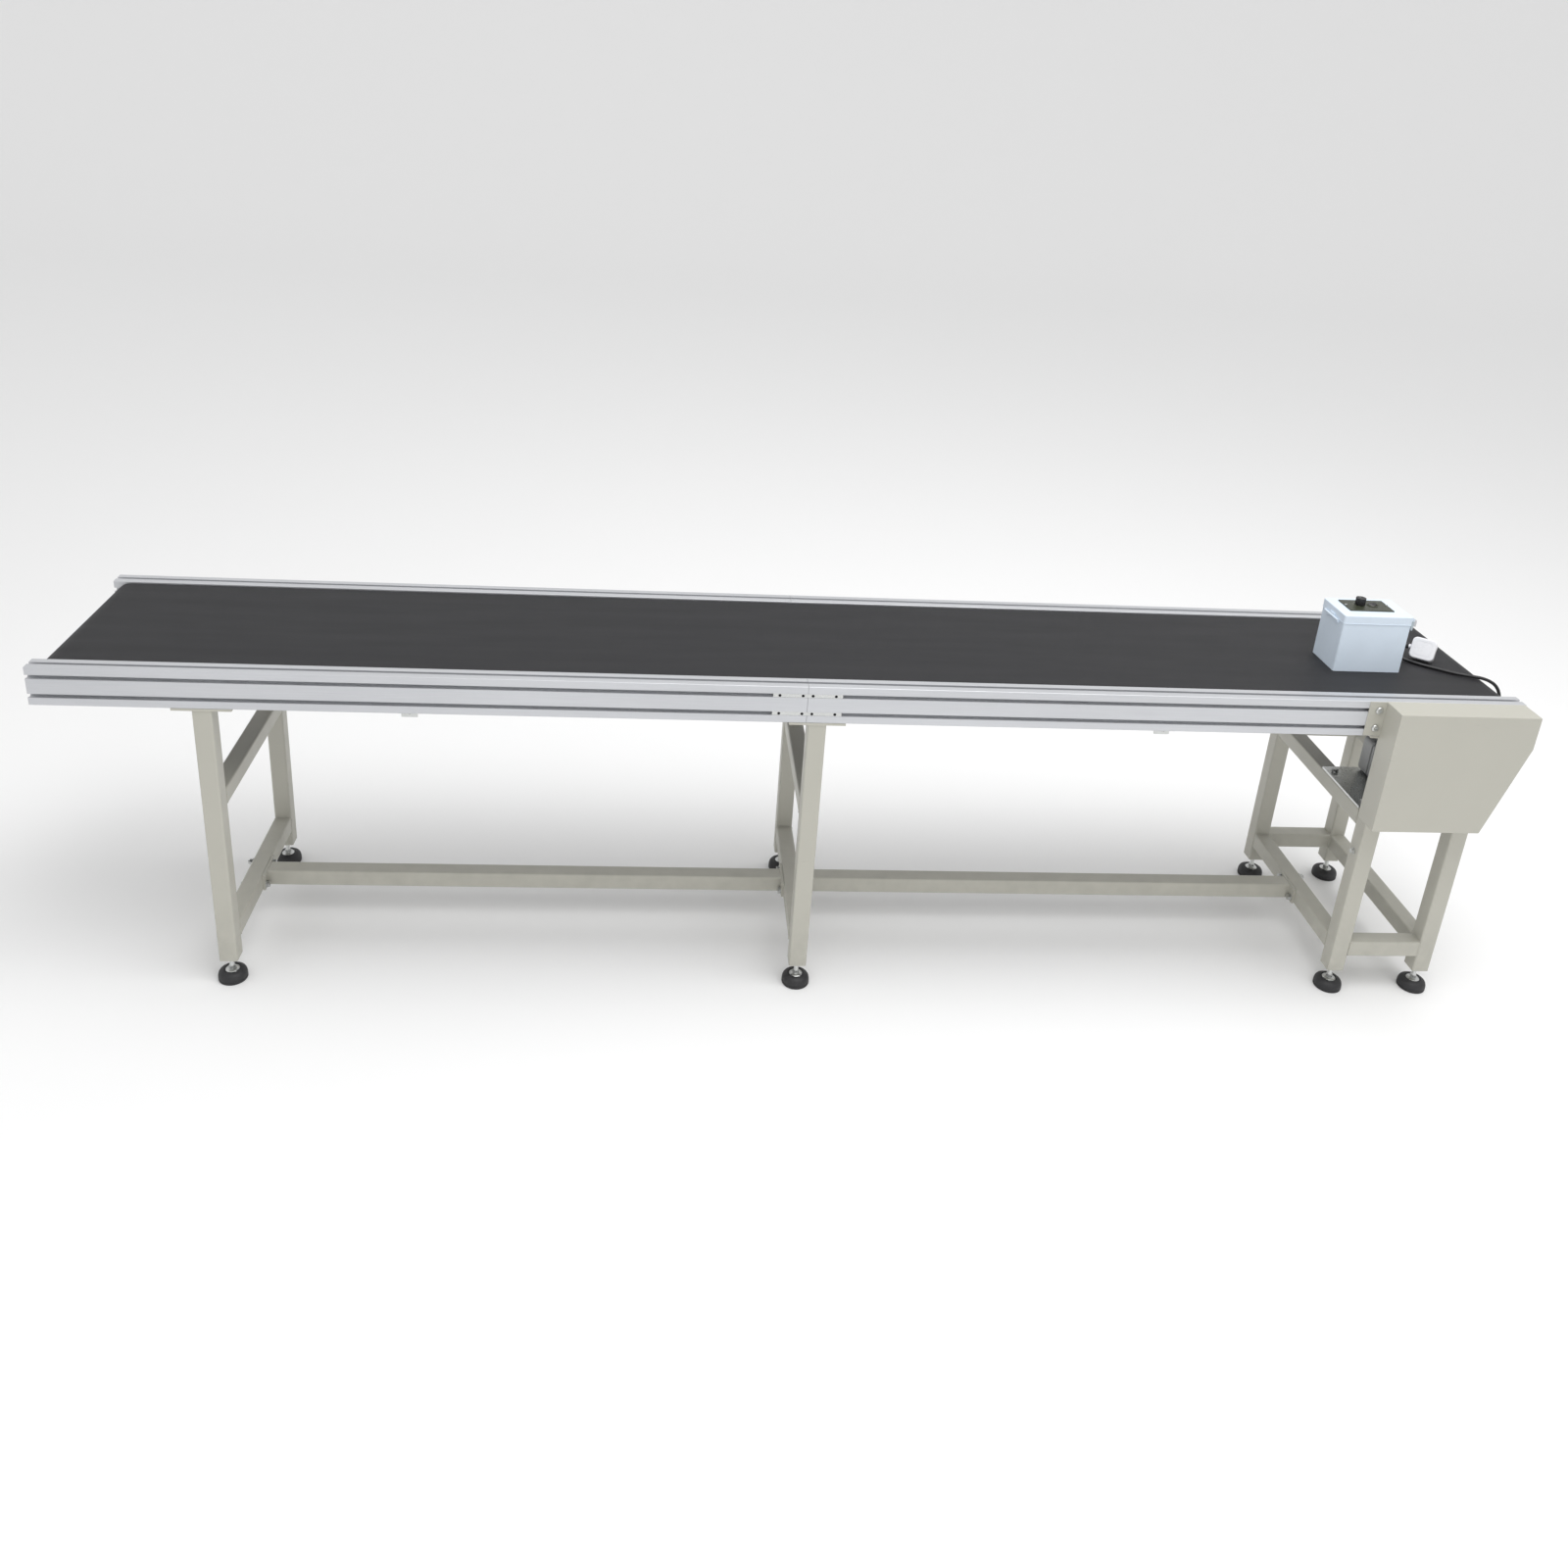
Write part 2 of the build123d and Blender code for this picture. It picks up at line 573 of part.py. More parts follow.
def corner_weld(x, y, z):
    """The bead up the line where the ends of two level bars meet at a leg."""
    half = tube / 2 - tube_corner
    with BuildSketch(Plane.XY.offset(z - half)) as bead:
        with Locations((x, y)):
            Polygon((weld, 0), (0, weld), (-weld, 0), (0, -weld), align=None)
    extrude(bead.sketch, amount=2 * half)


def bar_bolt_holes(x):
    for t in (-1, 1):
        y, z = mid_y + t * stretcher_bolt_y, lower_bar_z + t * stretcher_bolt_z
        peg(at(x - tube, y, z, (1, 0, 0)), bolt_r + bolt_gap, 2 * tube, Mode.SUBTRACT)


for label, x in (("tail_frame", tail_leg_x), ("middle_frame", middle_leg_x)):
    with BuildPart() as welded:
        legs([x])
        cross_bars([x])
        bar_bolt_holes(x)
        top_plates([x])
    save(welded, label)

earth_z = rail_top - 372.0
earth_y = mid_y - leg_y
with BuildPart() as stand:
    legs([inner_leg_x, outer_leg_x])
    cross_bars([inner_leg_x, outer_leg_x])
    bar_bolt_holes(inner_leg_x)
    top_plates([inner_leg_x, outer_leg_x])
    for x, y in plate_corners:
        peg(at(x, y, upper_bar_top - 5.0, (0, 0, 1), (1, 0, 0)), bolt_r + bolt_gap, 10.0, Mode.SUBTRACT)
    bar_x0 = inner_leg_x + tube / 2
    for side, z in ((1, upper_bar_z), (1, lower_bar_z), (-1, lower_bar_z)):
        square_tube(at(bar_x0, mid_y + side * leg_y, z, (1, 0, 0)), drive_leg_pitch - tube)
        for x in (bar_x0, bar_x0 + drive_leg_pitch - tube):
            corner_weld(x, mid_y + side * (leg_y - tube / 2), z)
    peg(at(inner_leg_x - tube / 2 - 1, earth_y, earth_z, (1, 0, 0)), 3.0 + bolt_gap, tube_wall + 2,
        Mode.SUBTRACT)
save(stand, "drive_stand")

# ---- bolts that hold the rails and the motor plate to the stand ----
rail_bolts = [(x + reach, leg_plate_t) for x in (tail_leg_x, middle_leg_x, inner_leg_x, outer_leg_x)
              for reach in (-plate_bolt_reach, plate_bolt_reach)]
rail_bolts += [(x, bracket_t) for x in return_places.values()]
with BuildPart() as frame_bolts:
    for x, under in rail_bolts:
        for _, side in SIDES:
            y = mid_y + side * rail_mid
            seat = rail_bottom - under
            hexagon(at(x, y, seat - bolt_head, (0, 0, 1), (1, 0, 0)), bolt_hex, bolt_head)
            peg(at(x, y, seat, (0, 0, 1), (1, 0, 0)), bolt_r, under + 10.0)
            with BuildSketch(Plane.XY.offset(rail_bottom + slot_lip + 0.1)) as slot_nut:
                with Locations((x, y)):
                    Rectangle(nut_l, 2 * nut_half)
                    Circle(bolt_r + run_gap, mode=Mode.SUBTRACT)
            extrude(slot_nut.sketch, amount=nut_t)
    for x, y in plate_corners:
        seat = upper_bar_top + motor_plate_t
        peg(at(x, y, seat, (0, 0, 1), (1, 0, 0)), washer_r, washer_t)
        hexagon(at(x, y, seat + washer_t, (0, 0, 1), (1, 0, 0)), bolt_hex, bolt_head)
        peg(at(x, y, seat, (0, 0, -1), (1, 0, 0)), bolt_r, motor_plate_t + 12.0)
save(frame_bolts, "frame_bolts")

# ---- stretchers along the floor, with welded end plates ----
bays = ((tail_leg_x, middle_leg_x), (middle_leg_x, inner_leg_x))
with BuildPart() as stretchers:
    for x0, x1 in bays:
        near, far = x0 + tube / 2, x1 - tube / 2
        square_tube(at(near + end_plate_t, mid_y, lower_bar_z, (1, 0, 0)), far - near - 2 * end_plate_t)
        for x in (near, far - end_plate_t):
            block((x, mid_y - end_plate_w / 2, lower_bar_z - tube / 2),
                  (x + end_plate_t, mid_y + end_plate_w / 2, lower_bar_z + tube / 2))
            for t in (-1, 1):
                peg(at(x, mid_y + t * stretcher_bolt_y, lower_bar_z + t * stretcher_bolt_z, (1, 0, 0)),
                    bolt_r + bolt_gap, end_plate_t, Mode.SUBTRACT)
save(stretchers, "stretchers")

with BuildPart() as stretcher_bolts:
    plate = tube / 2 + end_plate_t
    for head_x, nut_x in ((tail_leg_x + plate, tail_leg_x - tube / 2),
                          (middle_leg_x - plate, middle_leg_x + plate),
                          (inner_leg_x - plate, inner_leg_x + tube / 2)):
        out = 1 if head_x > nut_x else -1
        for t in (-1, 1):
            y, z = mid_y + t * stretcher_bolt_y, lower_bar_z + t * stretcher_bolt_z
            peg(at(head_x, y, z, (out, 0, 0)), washer_r, washer_t)
            hexagon(at(head_x + out * washer_t, y, z, (out, 0, 0)), bolt_hex, bolt_head)
            peg(at(head_x, y, z, (-out, 0, 0)), bolt_r, abs(head_x - nut_x) + 12.0)
            peg(at(nut_x, y, z, (-out, 0, 0)), washer_r, washer_t)
            hexagon(at(nut_x - out * washer_t, y, z, (-out, 0, 0)), bolt_hex, bolt_head + 1.0)
    leg_face = inner_leg_x - tube / 2
    peg(at(leg_face, earth_y, earth_z, (-1, 0, 0)), 7.0, washer_t)
    hexagon(at(leg_face - washer_t, earth_y, earth_z, (-1, 0, 0)), 5.8, 4.2)
    peg(at(leg_face, earth_y, earth_z, (1, 0, 0)), 3.0, tube_wall)
    hexagon(at(leg_face + tube_wall, earth_y, earth_z, (1, 0, 0)), 5.8, 5.0)
save(stretcher_bolts, "stretcher_bolts")

# ---- levelling feet ----
pad_h = 24.0
cup_r = 15.0
leg_places = {"tail": tail_leg_x, "middle": middle_leg_x, "drive_inner": inner_leg_x,
              "drive_outer": outer_leg_x}
for place, x in leg_places.items():
    for side_name, side in SIDES:
        y = mid_y + side * leg_y
        upright = Plane((x, y, 0), x_dir=(1, 0, 0), z_dir=(0, -1, 0))
        with BuildPart() as foot:
            with BuildSketch(upright) as pad:
                with BuildLine():
                    Polyline((0, 0), (pad_r - 1.5, 0), (pad_r, 1.5), (pad_r, 8.0))
                    ThreePointArc((pad_r, 8.0), (pad_r - 4.5, 17.0), (cup_r + 3.0, pad_h))
                    Polyline((cup_r + 3.0, pad_h), (cup_r, pad_h), (cup_r, pad_h - 3.0),
                             (0, pad_h - 3.0), (0, 0))
                make_face()
            revolve(pad.sketch, axis=Axis((x, y, 0), (0, 0, 1)))
        pad_solid = foot.part
        with BuildPart() as stud:
            with BuildSketch(upright) as cup:
                Polygon((0, pad_h - 3.0), (cup_r - soft_gap, pad_h - 3.0), (cup_r - soft_gap, pad_h - 1.0),
                        (9.0, pad_h + 1.0), (0, pad_h + 1.0), align=None)
            revolve(cup.sketch, axis=Axis((x, y, 0), (0, 0, 1)))
            hexagon(at(x, y, pad_h + 1.0, (0, 0, 1), (1, 0, 0)), 7.2, 7.0)
            peg(at(x, y, pad_h, (0, 0, 1), (1, 0, 0)), stud_r, leg_bottom + 40.0 - pad_h)
        whole = Compound(children=[pad_solid.solid(), stud.part.solid()])
        whole.label = f"foot_{place}_{side_name}"
        export_step(whole, f"parts/{whole.label}.step")

# ---- return rollers under the belt, on plates bolted beneath the rails ----
return_z = axis_z - belt_out_r - soft_gap - return_r
for place, x in return_places.items():
    with BuildPart() as return_roller:
        back = at(x, mid_y + inner_face - 6.0, return_z, (0, -1, 0))
        peg(back, return_r, 2 * (inner_face - 6.0))
        peg(at(x, mid_y + inner_face + 7.0, return_z, (0, -1, 0)), return_pin_r, 2 * (inner_face + 7.0))
        chamfer(return_roller.edges().filter_by(GeomType.CIRCLE).group_by(SortBy.RADIUS)[-1], 1.0)
    save(return_roller, f"return_roller_{place}")

with BuildPart() as brackets:
    for x in return_places.values():
        for _, side in SIDES:
            y0, y1 = sorted((mid_y + side * (inner_face + 1.0), mid_y + side * (inner_face + 5.0)))
            block((x - 16, y0, return_z - 12), (x + 16, y1, rail_bottom))
            z0, z1 = rail_bottom - bracket_t, rail_bottom
            block((x - 16, min(y0, mid_y + side * (rail_mid + 12)), z0),
                  (x + 16, max(y1, mid_y + side * (rail_mid + 12)), z1))
            peg(at(x, y0 - 3, return_z, (0, 1, 0)), return_pin_r + run_gap, 10.0, Mode.SUBTRACT)
            peg(at(x, mid_y + side * rail_mid, z0, (0, 0, 1), (1, 0, 0)), bolt_r + bolt_gap, bracket_t,
                Mode.SUBTRACT)
save(brackets, "return_roller_brackets")

# ---- control box ----
hinge_gap = 0.5
hinge_x = box_x - box_l / 2 - lid_over - hinge_gap - hinge_r
hinge_z = case_top + lid_seam / 2
knuckles = [(box_y - 30.0, box_y - 10.2, "case"), (box_y - 10.0, box_y + 10.0, "lid"),
            (box_y + 10.2, box_y + 30.0, "case")]


def shell(x0, x1, y0, y1, z0, z1, corner):
    with BuildSketch(Plane.XY.offset(z0)) as outline:
        with Locations(((x0 + x1) / 2, (y0 + y1) / 2)):
            RectangleRounded(x1 - x0, y1 - y0, corner)
    extrude(outline.sketch, amount=z1 - z0)


def hinge_leaf(owner):
    """The knuckles that belong to the case or the lid, each with its leaf to the wall."""
    for y0, y1, of in knuckles:
        if of == owner:
            low, high = (-6.0, 0.0) if owner == "case" else (0.0, 6.0)
            reach = hinge_gap + box_wall + (lid_over if owner == "case" else 0.0)
            block((hinge_x, y0, hinge_z + low), (hinge_x + hinge_r + reach, y1, hinge_z + high))
            peg(at(hinge_x, y0, hinge_z, (0, 1, 0)), hinge_r, y1 - y0)
            peg(at(hinge_x, y0, hinge_z, (0, 1, 0)), hinge_pin_r + run_gap, y1 - y0, Mode.SUBTRACT)


gland_z = belt_top + 12.7
mains_gland_x = box_x - box_l / 2 + 92.5
motor_cable_y = mid_y - 19.0
gland_root = 6.0
gland_l = 20.0
with BuildPart() as case:
    x0, x1 = box_x - box_l / 2, box_x + box_l / 2
    y0, y1 = box_y - box_w / 2, box_y + box_w / 2
    shell(x0, x1, y0, y1, belt_top, case_top, 4.0)
    fillet(case.faces().sort_by(Axis.Z)[0].edges(), 1.0)
    with BuildSketch(Plane.XY.offset(belt_top + box_wall)) as hollow:
        with Locations((box_x, box_y)):
            RectangleRounded(box_l - 2 * box_wall, box_w - 2 * box_wall, 2.0)
    extrude(hollow.sketch, amount=case_h, mode=Mode.SUBTRACT)
    hinge_leaf("case")
    block((x1 - 1.0, y0 + 6.0, case_top - 13.0), (x1 + lid_over + 0.4, y0 + 22.0, case_top - 11.0))
    peg(at(mains_gland_x, y1 - 2 * box_wall, gland_z, (0, 1, 0)), 6.0 + run_gap, 4 * box_wall,
        Mode.SUBTRACT)
    peg(at(x1 - 2 * box_wall, motor_cable_y, gland_z, (1, 0, 0)), 6.0 + run_gap, 4 * box_wall,
        Mode.SUBTRACT)
with BuildPart() as hinge_pin:
    peg(at(hinge_x, knuckles[0][0], hinge_z, (0, 1, 0)), hinge_pin_r, knuckles[-1][1] - knuckles[0][0])
case_and_pin = Compound(children=[case.part.solid(), hinge_pin.part.solid()])
case_and_pin.label = "control_case"
export_step(case_and_pin, "parts/control_case.step")

cutout_gap = 0.5
latch_y0, latch_y1 = box_y - box_w / 2 + 5.0, box_y - box_w / 2 + 23.0
latch_x = box_x + box_l / 2 + lid_over
latch_pivot_z = lid_z + 11.0
latch_pivot_out, latch_pin_r = 3.4, 1.2
ear_gap, ear_t = 0.3, 1.6
with BuildPart() as lid:
    x0, x1 = box_x - box_l / 2 - lid_over, box_x + box_l / 2 + lid_over
    y0, y1 = box_y - box_w / 2 - lid_over, box_y + box_w / 2 + lid_over
    shell(x0, x1, y0, y1, lid_z, lid_top, 5.0)
    fillet(lid.faces().sort_by(Axis.Z)[-1].edges(), 2.0)
    with BuildSketch(Plane.XY.offset(lid_z)) as hollow:
        with Locations((box_x, box_y)):
            RectangleRounded(x1 - x0 - 2 * box_wall, y1 - y0 - 2 * box_wall, 2.5)
    extrude(hollow.sketch, amount=lid_h - box_wall, mode=Mode.SUBTRACT)
    block((panel_x - module_l / 2 - cutout_gap, panel_y - module_w / 2 - cutout_gap, lid_z),
          (panel_x + module_l / 2 + cutout_gap, panel_y + module_w / 2 + cutout_gap, lid_top + 1),
          Mode.SUBTRACT)
    hinge_leaf("lid")
    for y in (latch_y0 - ear_gap - ear_t, latch_y1 + ear_gap):
        block((latch_x - 1.0, y, latch_pivot_z - 3.0), (latch_x + 6.0, y + ear_t, latch_pivot_z + 3.0))
        peg(at(latch_x + latch_pivot_out, y, latch_pivot_z, (0, 1, 0)), latch_pin_r + run_gap, ear_t,
            Mode.SUBTRACT)
save(lid, "control_lid")

bezel_r, bezel_h = 12.0, 1.6
knob_shaft_r = 3.0
panel_screw_r = 3.0
rocker_gap = 1.1
rocker_pin_r = 0.8
rocker_z = panel_top + bezel_h - 3.0
with BuildPart() as panel:
    block((panel_x - panel_l / 2, panel_y - panel_w / 2, lid_top),
          (panel_x + panel_l / 2, panel_y + panel_w / 2, panel_top))
    chamfer(panel.faces().sort_by(Axis.Z)[-1].edges(), 0.6)
    peg(at(rocker_x, rocker_y, lid_top, (0, 0, 1), (1, 0, 0)), bezel_r, panel_t + bezel_h)
    chamfer(panel.faces().sort_by(Axis.Z)[-1].edges(), 0.8)
    peg(at(rocker_x, rocker_y, lid_top, (0, 0, 1), (1, 0, 0)), rocker_r + rocker_gap, 10.0, Mode.SUBTRACT)
    peg(at(rocker_x, rocker_y - bezel_r + 1.0, rocker_z, (0, 1, 0)), rocker_pin_r + run_gap,
        2 * bezel_r - 2.0, Mode.SUBTRACT)
    peg(at(knob_x, knob_y, lid_top, (0, 0, 1), (1, 0, 0)), knob_shaft_r + run_gap, 10.0, Mode.SUBTRACT)
    for t in (-1, 1):
        peg(at(panel_x + t * (panel_l / 2 - 3.5), panel_y, lid_top, (0, 0, 1), (1, 0, 0)), 1.9, 10.0,
            Mode.SUBTRACT)
save(panel, "control_panel")

with BuildPart() as panel_screws:
    for t in (-1, 1):
        x = panel_x + t * (panel_l / 2 - 3.5)
        peg(at(x, panel_y, panel_top, (0, 0, 1), (1, 0, 0)), panel_screw_r, 1.6)
        peg(at(x, panel_y, panel_top, (0, 0, -1), (1, 0, 0)), 1.5, panel_t)
        block((x - 3.2, panel_y - 0.4, panel_top + 0.9), (x + 3.2, panel_y + 0.4, panel_top + 2),
              Mode.SUBTRACT)
save(panel_screws, "panel_screws")

with BuildPart() as module:
    block((panel_x - module_l / 2, panel_y - module_w / 2, lid_top - module_h),
          (panel_x + module_l / 2, panel_y + module_w / 2, lid_top))
    fillet(module.edges().filter_by(Axis.Z), 2.0)
    peg(at(rocker_x, rocker_y, lid_top, (0, 0, -1), (1, 0, 0)), rocker_r + rocker_gap, 8.0, Mode.SUBTRACT)
    peg(at(knob_x, knob_y, lid_top, (0, 0, -1), (1, 0, 0)), knob_shaft_r + run_gap, 12.0, Mode.SUBTRACT)
save(module, "speed_module")

knob_lift = 0.8
with BuildPart() as knob:
    low = at(knob_x, knob_y, panel_top + knob_lift, (0, 0, 1), (1, 0, 0))
    peg(low, knob_r, knob_h)
    with BuildSketch(low) as flutes:
        with PolarLocations(knob_r + 0.8, 18):
            Circle(1.4)
    extrude(flutes.sketch, amount=knob_h, mode=Mode.SUBTRACT)
    peg(at(knob_x, knob_y, panel_top + knob_lift, (0, 0, -1), (1, 0, 0)), knob_shaft_r,
        panel_t + knob_lift + 10.0)
    block((knob_x - 0.6, knob_y + 2, panel_top + knob_lift + knob_h - 0.7),
          (knob_x + 0.6, knob_y + knob_r + 1, panel_top + knob_lift + knob_h + 1), Mode.SUBTRACT)
save(knob, "speed_knob")

lean = radians(rocker_tilt)
rocker_middle, rocker_under = 3.0, 2.0
with BuildPart() as rocker:
    with BuildSketch(at(rocker_x, rocker_y, rocker_z, (0, -1, 0), (cos(lean), 0, sin(lean)))) as wedge:
        Polygon((-rocker_r, -rocker_under), (rocker_r, -rocker_under),
                (rocker_r, rocker_middle + rocker_r * tan(lean)), (0, rocker_middle),
                (-rocker_r, rocker_middle + rocker_r * tan(lean)), align=None)
    extrude(wedge.sketch, amount=rocker_r, both=True)
    upright = at(rocker_x, rocker_y, rocker_z, (-sin(lean), 0, cos(lean)), (0, 1, 0))
    peg(upright.offset(-rocker_under), rocker_r, 2 * rocker_r, Mode.INTERSECT)
    peg(at(rocker_x, rocker_y - bezel_r + 1.4, rocker_z, (0, 1, 0)), rocker_pin_r, 2 * bezel_r - 2.8)
save(rocker, "rocker_switch")

with BuildPart() as latch:
    with BuildSketch(facing(latch_y1)) as profile:
        with Locations((latch_x, latch_pivot_z)):
            Polygon((1.4, 2.6), (5.6, 2.2), (7.4, 0), (6.6, -24), (4.4, -25), (0.8, -15), (0.8, 1.6),
                    align=None)
    extrude(profile.sketch, amount=latch_y1 - latch_y0)
    fillet(latch.edges().filter_by(Axis.Y).group_by(Axis.X)[-2], 1.2)
    peg(at(latch_x + latch_pivot_out, latch_y1 + ear_gap + ear_t, latch_pivot_z, (0, -1, 0)), latch_pin_r,
        latch_y1 - latch_y0 + 2 * (ear_gap + ear_t))
save(latch, "lid_latch")

# ---- cord glands: a threaded root, a hexagon and a tapered sleeve ----
gland_hex, gland_hex_l = 8.5, 7.0
with BuildPart() as glands:
    for wall_x, wall_y, way in ((mains_gland_x, box_y + box_w / 2, (0, 1, 0)),
                                (box_x + box_l / 2, motor_cable_y, (1, 0, 0))):
        face = at(wall_x, wall_y, gland_z, way)
        back = at(wall_x, wall_y, gland_z, tuple(-w for w in way))
        peg(back, 6.0, gland_root)
        hexagon(back.offset(box_wall), gland_hex, 3.0)
        hexagon(face, gland_hex, gland_hex_l)
        with BuildSketch(face.offset(gland_hex_l)) as wide:
            Circle(6.5)
        with BuildSketch(face.offset(gland_l)) as narrow:
            Circle(cord_d / 2 + 1.0)
        loft([wide.sketch.face(), narrow.sketch.face()])
save(glands, "cord_glands")

# ---- plug: it lies on its long edge and on the tip of one pin ----
turn = radians(plug_turn)
pin_low = plug_w / 2 - pin_spread - pin_w / 2
tilt = atan2(pin_low, pin_l)
along = Vector(cos(turn), -sin(turn), 0)
toward = Vector(-sin(turn), -cos(turn), 0)
cover_way = toward * cos(tilt) + Vector(0, 0, 1) * sin(tilt)
up_way = Vector(0, 0, 1) * cos(tilt) - toward * sin(tilt)
plug_rest = Vector(drive_x - 74.2, mid_y - 25.4, belt_top + 0.3)
plug_face = Plane(plug_rest + up_way * (plug_w / 2), x_dir=along, z_dir=cover_way)
grip_l = 5.0
with BuildPart() as plug:
    with BuildSketch(plug_face) as outline:
        RectangleRounded(plug_l, plug_w, 10.0)
    extrude(outline.sketch, amount=plug_t)
    rim = plug.edges().filter_by(lambda edge: abs(plug_face.to_local_coords(edge.center()).Z - plug_t) < 0.1)
    fillet(rim, 3.0)
    with BuildSketch(plug_face.offset(plug_t - 0.8)) as recess:
        RectangleRounded(34.0, 32.0, 6.0)
        RectangleRounded(32.4, 30.4, 5.2, mode=Mode.SUBTRACT)
    extrude(recess.sketch, amount=2.0, mode=Mode.SUBTRACT)
    exit_place = plug_face.from_local_coords((-plug_l / 2, 0, plug_t / 2))
    peg(Plane(exit_place, x_dir=cover_way, z_dir=along * -1), cord_d / 2 + 1.5, grip_l)
save(plug, "plug_body")

with BuildPart() as pins:
    for u, v, across_u, across_v, length in ((-5.0, pin_spread, pin_t, pin_w, pin_l),
                                             (-5.0, -pin_spread, pin_t, pin_w, pin_l),
                                             (17.2, 0.0, 8.0, pin_t, earth_pin_l)):
        with BuildSketch(plug_face) as pin:
            with Locations((u, v)):
                Rectangle(across_u, across_v)
        extrude(pin.sketch, amount=-length)
save(pins, "plug_pins")


# ---- cords ----
def hand_route(points):
    """Chosen points, given from the drive roller's axis, the belt's middle and its top."""
    return [Vector(drive_x + x, mid_y + y, belt_top + z) for x, y, z in points]


def cord_tube(points, label):
    """A tube of straight runs and tangent arcs, each as large as its two runs allow."""
    runs = [points[i + 1] - points[i] for i in range(len(points) - 1)]
    radii = []
    for before, after in zip(runs, runs[1:]):
        half = radians(before.get_angle(after)) / 2
        radii.append(0.45 * min(before.length, after.length) / tan(half))
    with BuildPart() as tube_part:
        with BuildLine() as path:
            FilletPolyline(*points, radius=radii)
        with BuildSketch(Plane(points[0], z_dir=runs[0])):
            Circle(cord_d / 2)
        sweep()
    length = sum(edge.length for edge in path.edges())
    ideal = pi * cord_d**2 / 4 * length
    print(label, "length", round(length, 1), "radii", [round(r, 1) for r in radii],
          "volume ratio", round(tube_part.part.volume / ideal, 5))
    save(tube_part, label)


coil_x, coil_y = drive_x - 170.0, mid_y + 95.0
coil_gap = 0.3
coil_r1 = coil_mid_r + coil_across * cord_d / 2
coil_r0 = coil_mid_r - coil_across * cord_d / 2
with BuildPart() as coil:
    with BuildSketch(Plane.XY.offset(belt_top + coil_gap)):
        with Locations((coil_x, coil_y)):
            Circle(coil_r1)
            Circle(coil_r0, mode=Mode.SUBTRACT)
    extrude(amount=coil_layers * cord_d + 1.0)
    fillet(coil.edges().filter_by(GeomType.CIRCLE), 2.0)
save(coil, "mains_cord_coil")

gland_out_y = box_y + box_w / 2 + gland_l - mid_y
ground = cord_d / 2 + coil_gap
mains_x = mains_gland_x - drive_x
cord_tube(hand_route([(mains_x, gland_out_y, 12.7), (mains_x - 0.5, gland_out_y + 24, 6.5),
                      (mains_x, coil_y - mid_y - 4, ground)]), "mains_cord_box_run")
plug_exit = exit_place - along * grip_l
away = plug_exit - along * 40.0
cord_tube([*hand_route([(-123.5, 93.0, ground), (-125.0, 60.0, ground + 0.3)]),
           Vector(away.X, away.Y, belt_top + 22.5), plug_exit], "mains_cord_plug_run")

motor_run = hand_route([(box_x + box_l / 2 + gland_l - drive_x, motor_cable_y - mid_y, 12.7),
                        (-117.0, -26.0, 4.6), (-94.0, -49.5, ground), (-68.0, -69.5, ground),
                        (-36.0, -93.5, ground), (-10.0, -108.0, 5.0), (22.0, -118.5, 4.0),
                        (47.0, -127.0, -8.5), (59.0, -131.0, -38.0), (59.0, -131.5, -76.0),
                        (49.0, -126.0, -112.0), (38.0, -120.0, -146.0)])
motor_end = Vector(motor_gland_x, terminal_y, terminal_z)
motor_run += [motor_end + Vector(*way) for way in ((60.0, -12.0, 38.0), (45.0, -8.0, 14.0),
                                                   (23.0, -3.5, 2.0), (0.0, 0.0, 0.0))]
cord_tube(motor_run, "motor_cable")
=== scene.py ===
"""The looks of a flat-belt conveyor section, built around its CAD frame."""

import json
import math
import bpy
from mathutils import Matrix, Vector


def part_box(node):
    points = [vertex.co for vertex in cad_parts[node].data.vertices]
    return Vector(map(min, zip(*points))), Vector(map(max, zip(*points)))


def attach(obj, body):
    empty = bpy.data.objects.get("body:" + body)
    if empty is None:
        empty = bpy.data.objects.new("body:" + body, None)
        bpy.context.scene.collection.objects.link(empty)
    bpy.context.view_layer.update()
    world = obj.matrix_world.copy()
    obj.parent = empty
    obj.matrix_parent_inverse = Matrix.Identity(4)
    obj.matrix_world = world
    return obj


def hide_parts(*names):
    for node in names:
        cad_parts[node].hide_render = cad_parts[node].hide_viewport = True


bl_info = {
    "name": "Belt conveyor section",
    "version": (1, 0, 0),
    "blender": (4, 5, 0),
    "location": "View3D > Sidebar > Conveyor",
    "description": "Finishes, cords, feet, welds and fittings of a belt conveyor section",
    "category": "Add Mesh",
}

import bmesh
import bpy
from bpy.props import FloatProperty, FloatVectorProperty, IntProperty, PointerProperty
from mathutils import Vector

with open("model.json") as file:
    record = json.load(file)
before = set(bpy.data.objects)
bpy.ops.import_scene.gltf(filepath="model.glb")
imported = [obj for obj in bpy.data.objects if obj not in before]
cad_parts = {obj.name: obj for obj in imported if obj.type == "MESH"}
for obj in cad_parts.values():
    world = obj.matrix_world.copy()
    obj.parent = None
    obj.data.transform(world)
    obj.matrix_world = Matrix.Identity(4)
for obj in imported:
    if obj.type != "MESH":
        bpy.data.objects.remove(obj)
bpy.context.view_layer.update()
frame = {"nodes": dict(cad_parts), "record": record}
NODES = frame["nodes"]


def middle(node):
    low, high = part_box(node)
    return (low + high) / 2


def feet():
    return sorted(name for name in NODES if name.startswith("foot_"))


BELT_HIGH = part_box("conveyor_belt")[1]
DRIVE = middle("drive_drum")
MID_Y = DRIVE.y
BELT_TOP = BELT_HIGH.z


# ---------------------------------------------------------------- sizes and colours
def colour_property(name, value, description):
    return FloatVectorProperty(name=name, description=description, default=value, size=3, subtype="COLOR",
                               min=0.0, max=1.0)


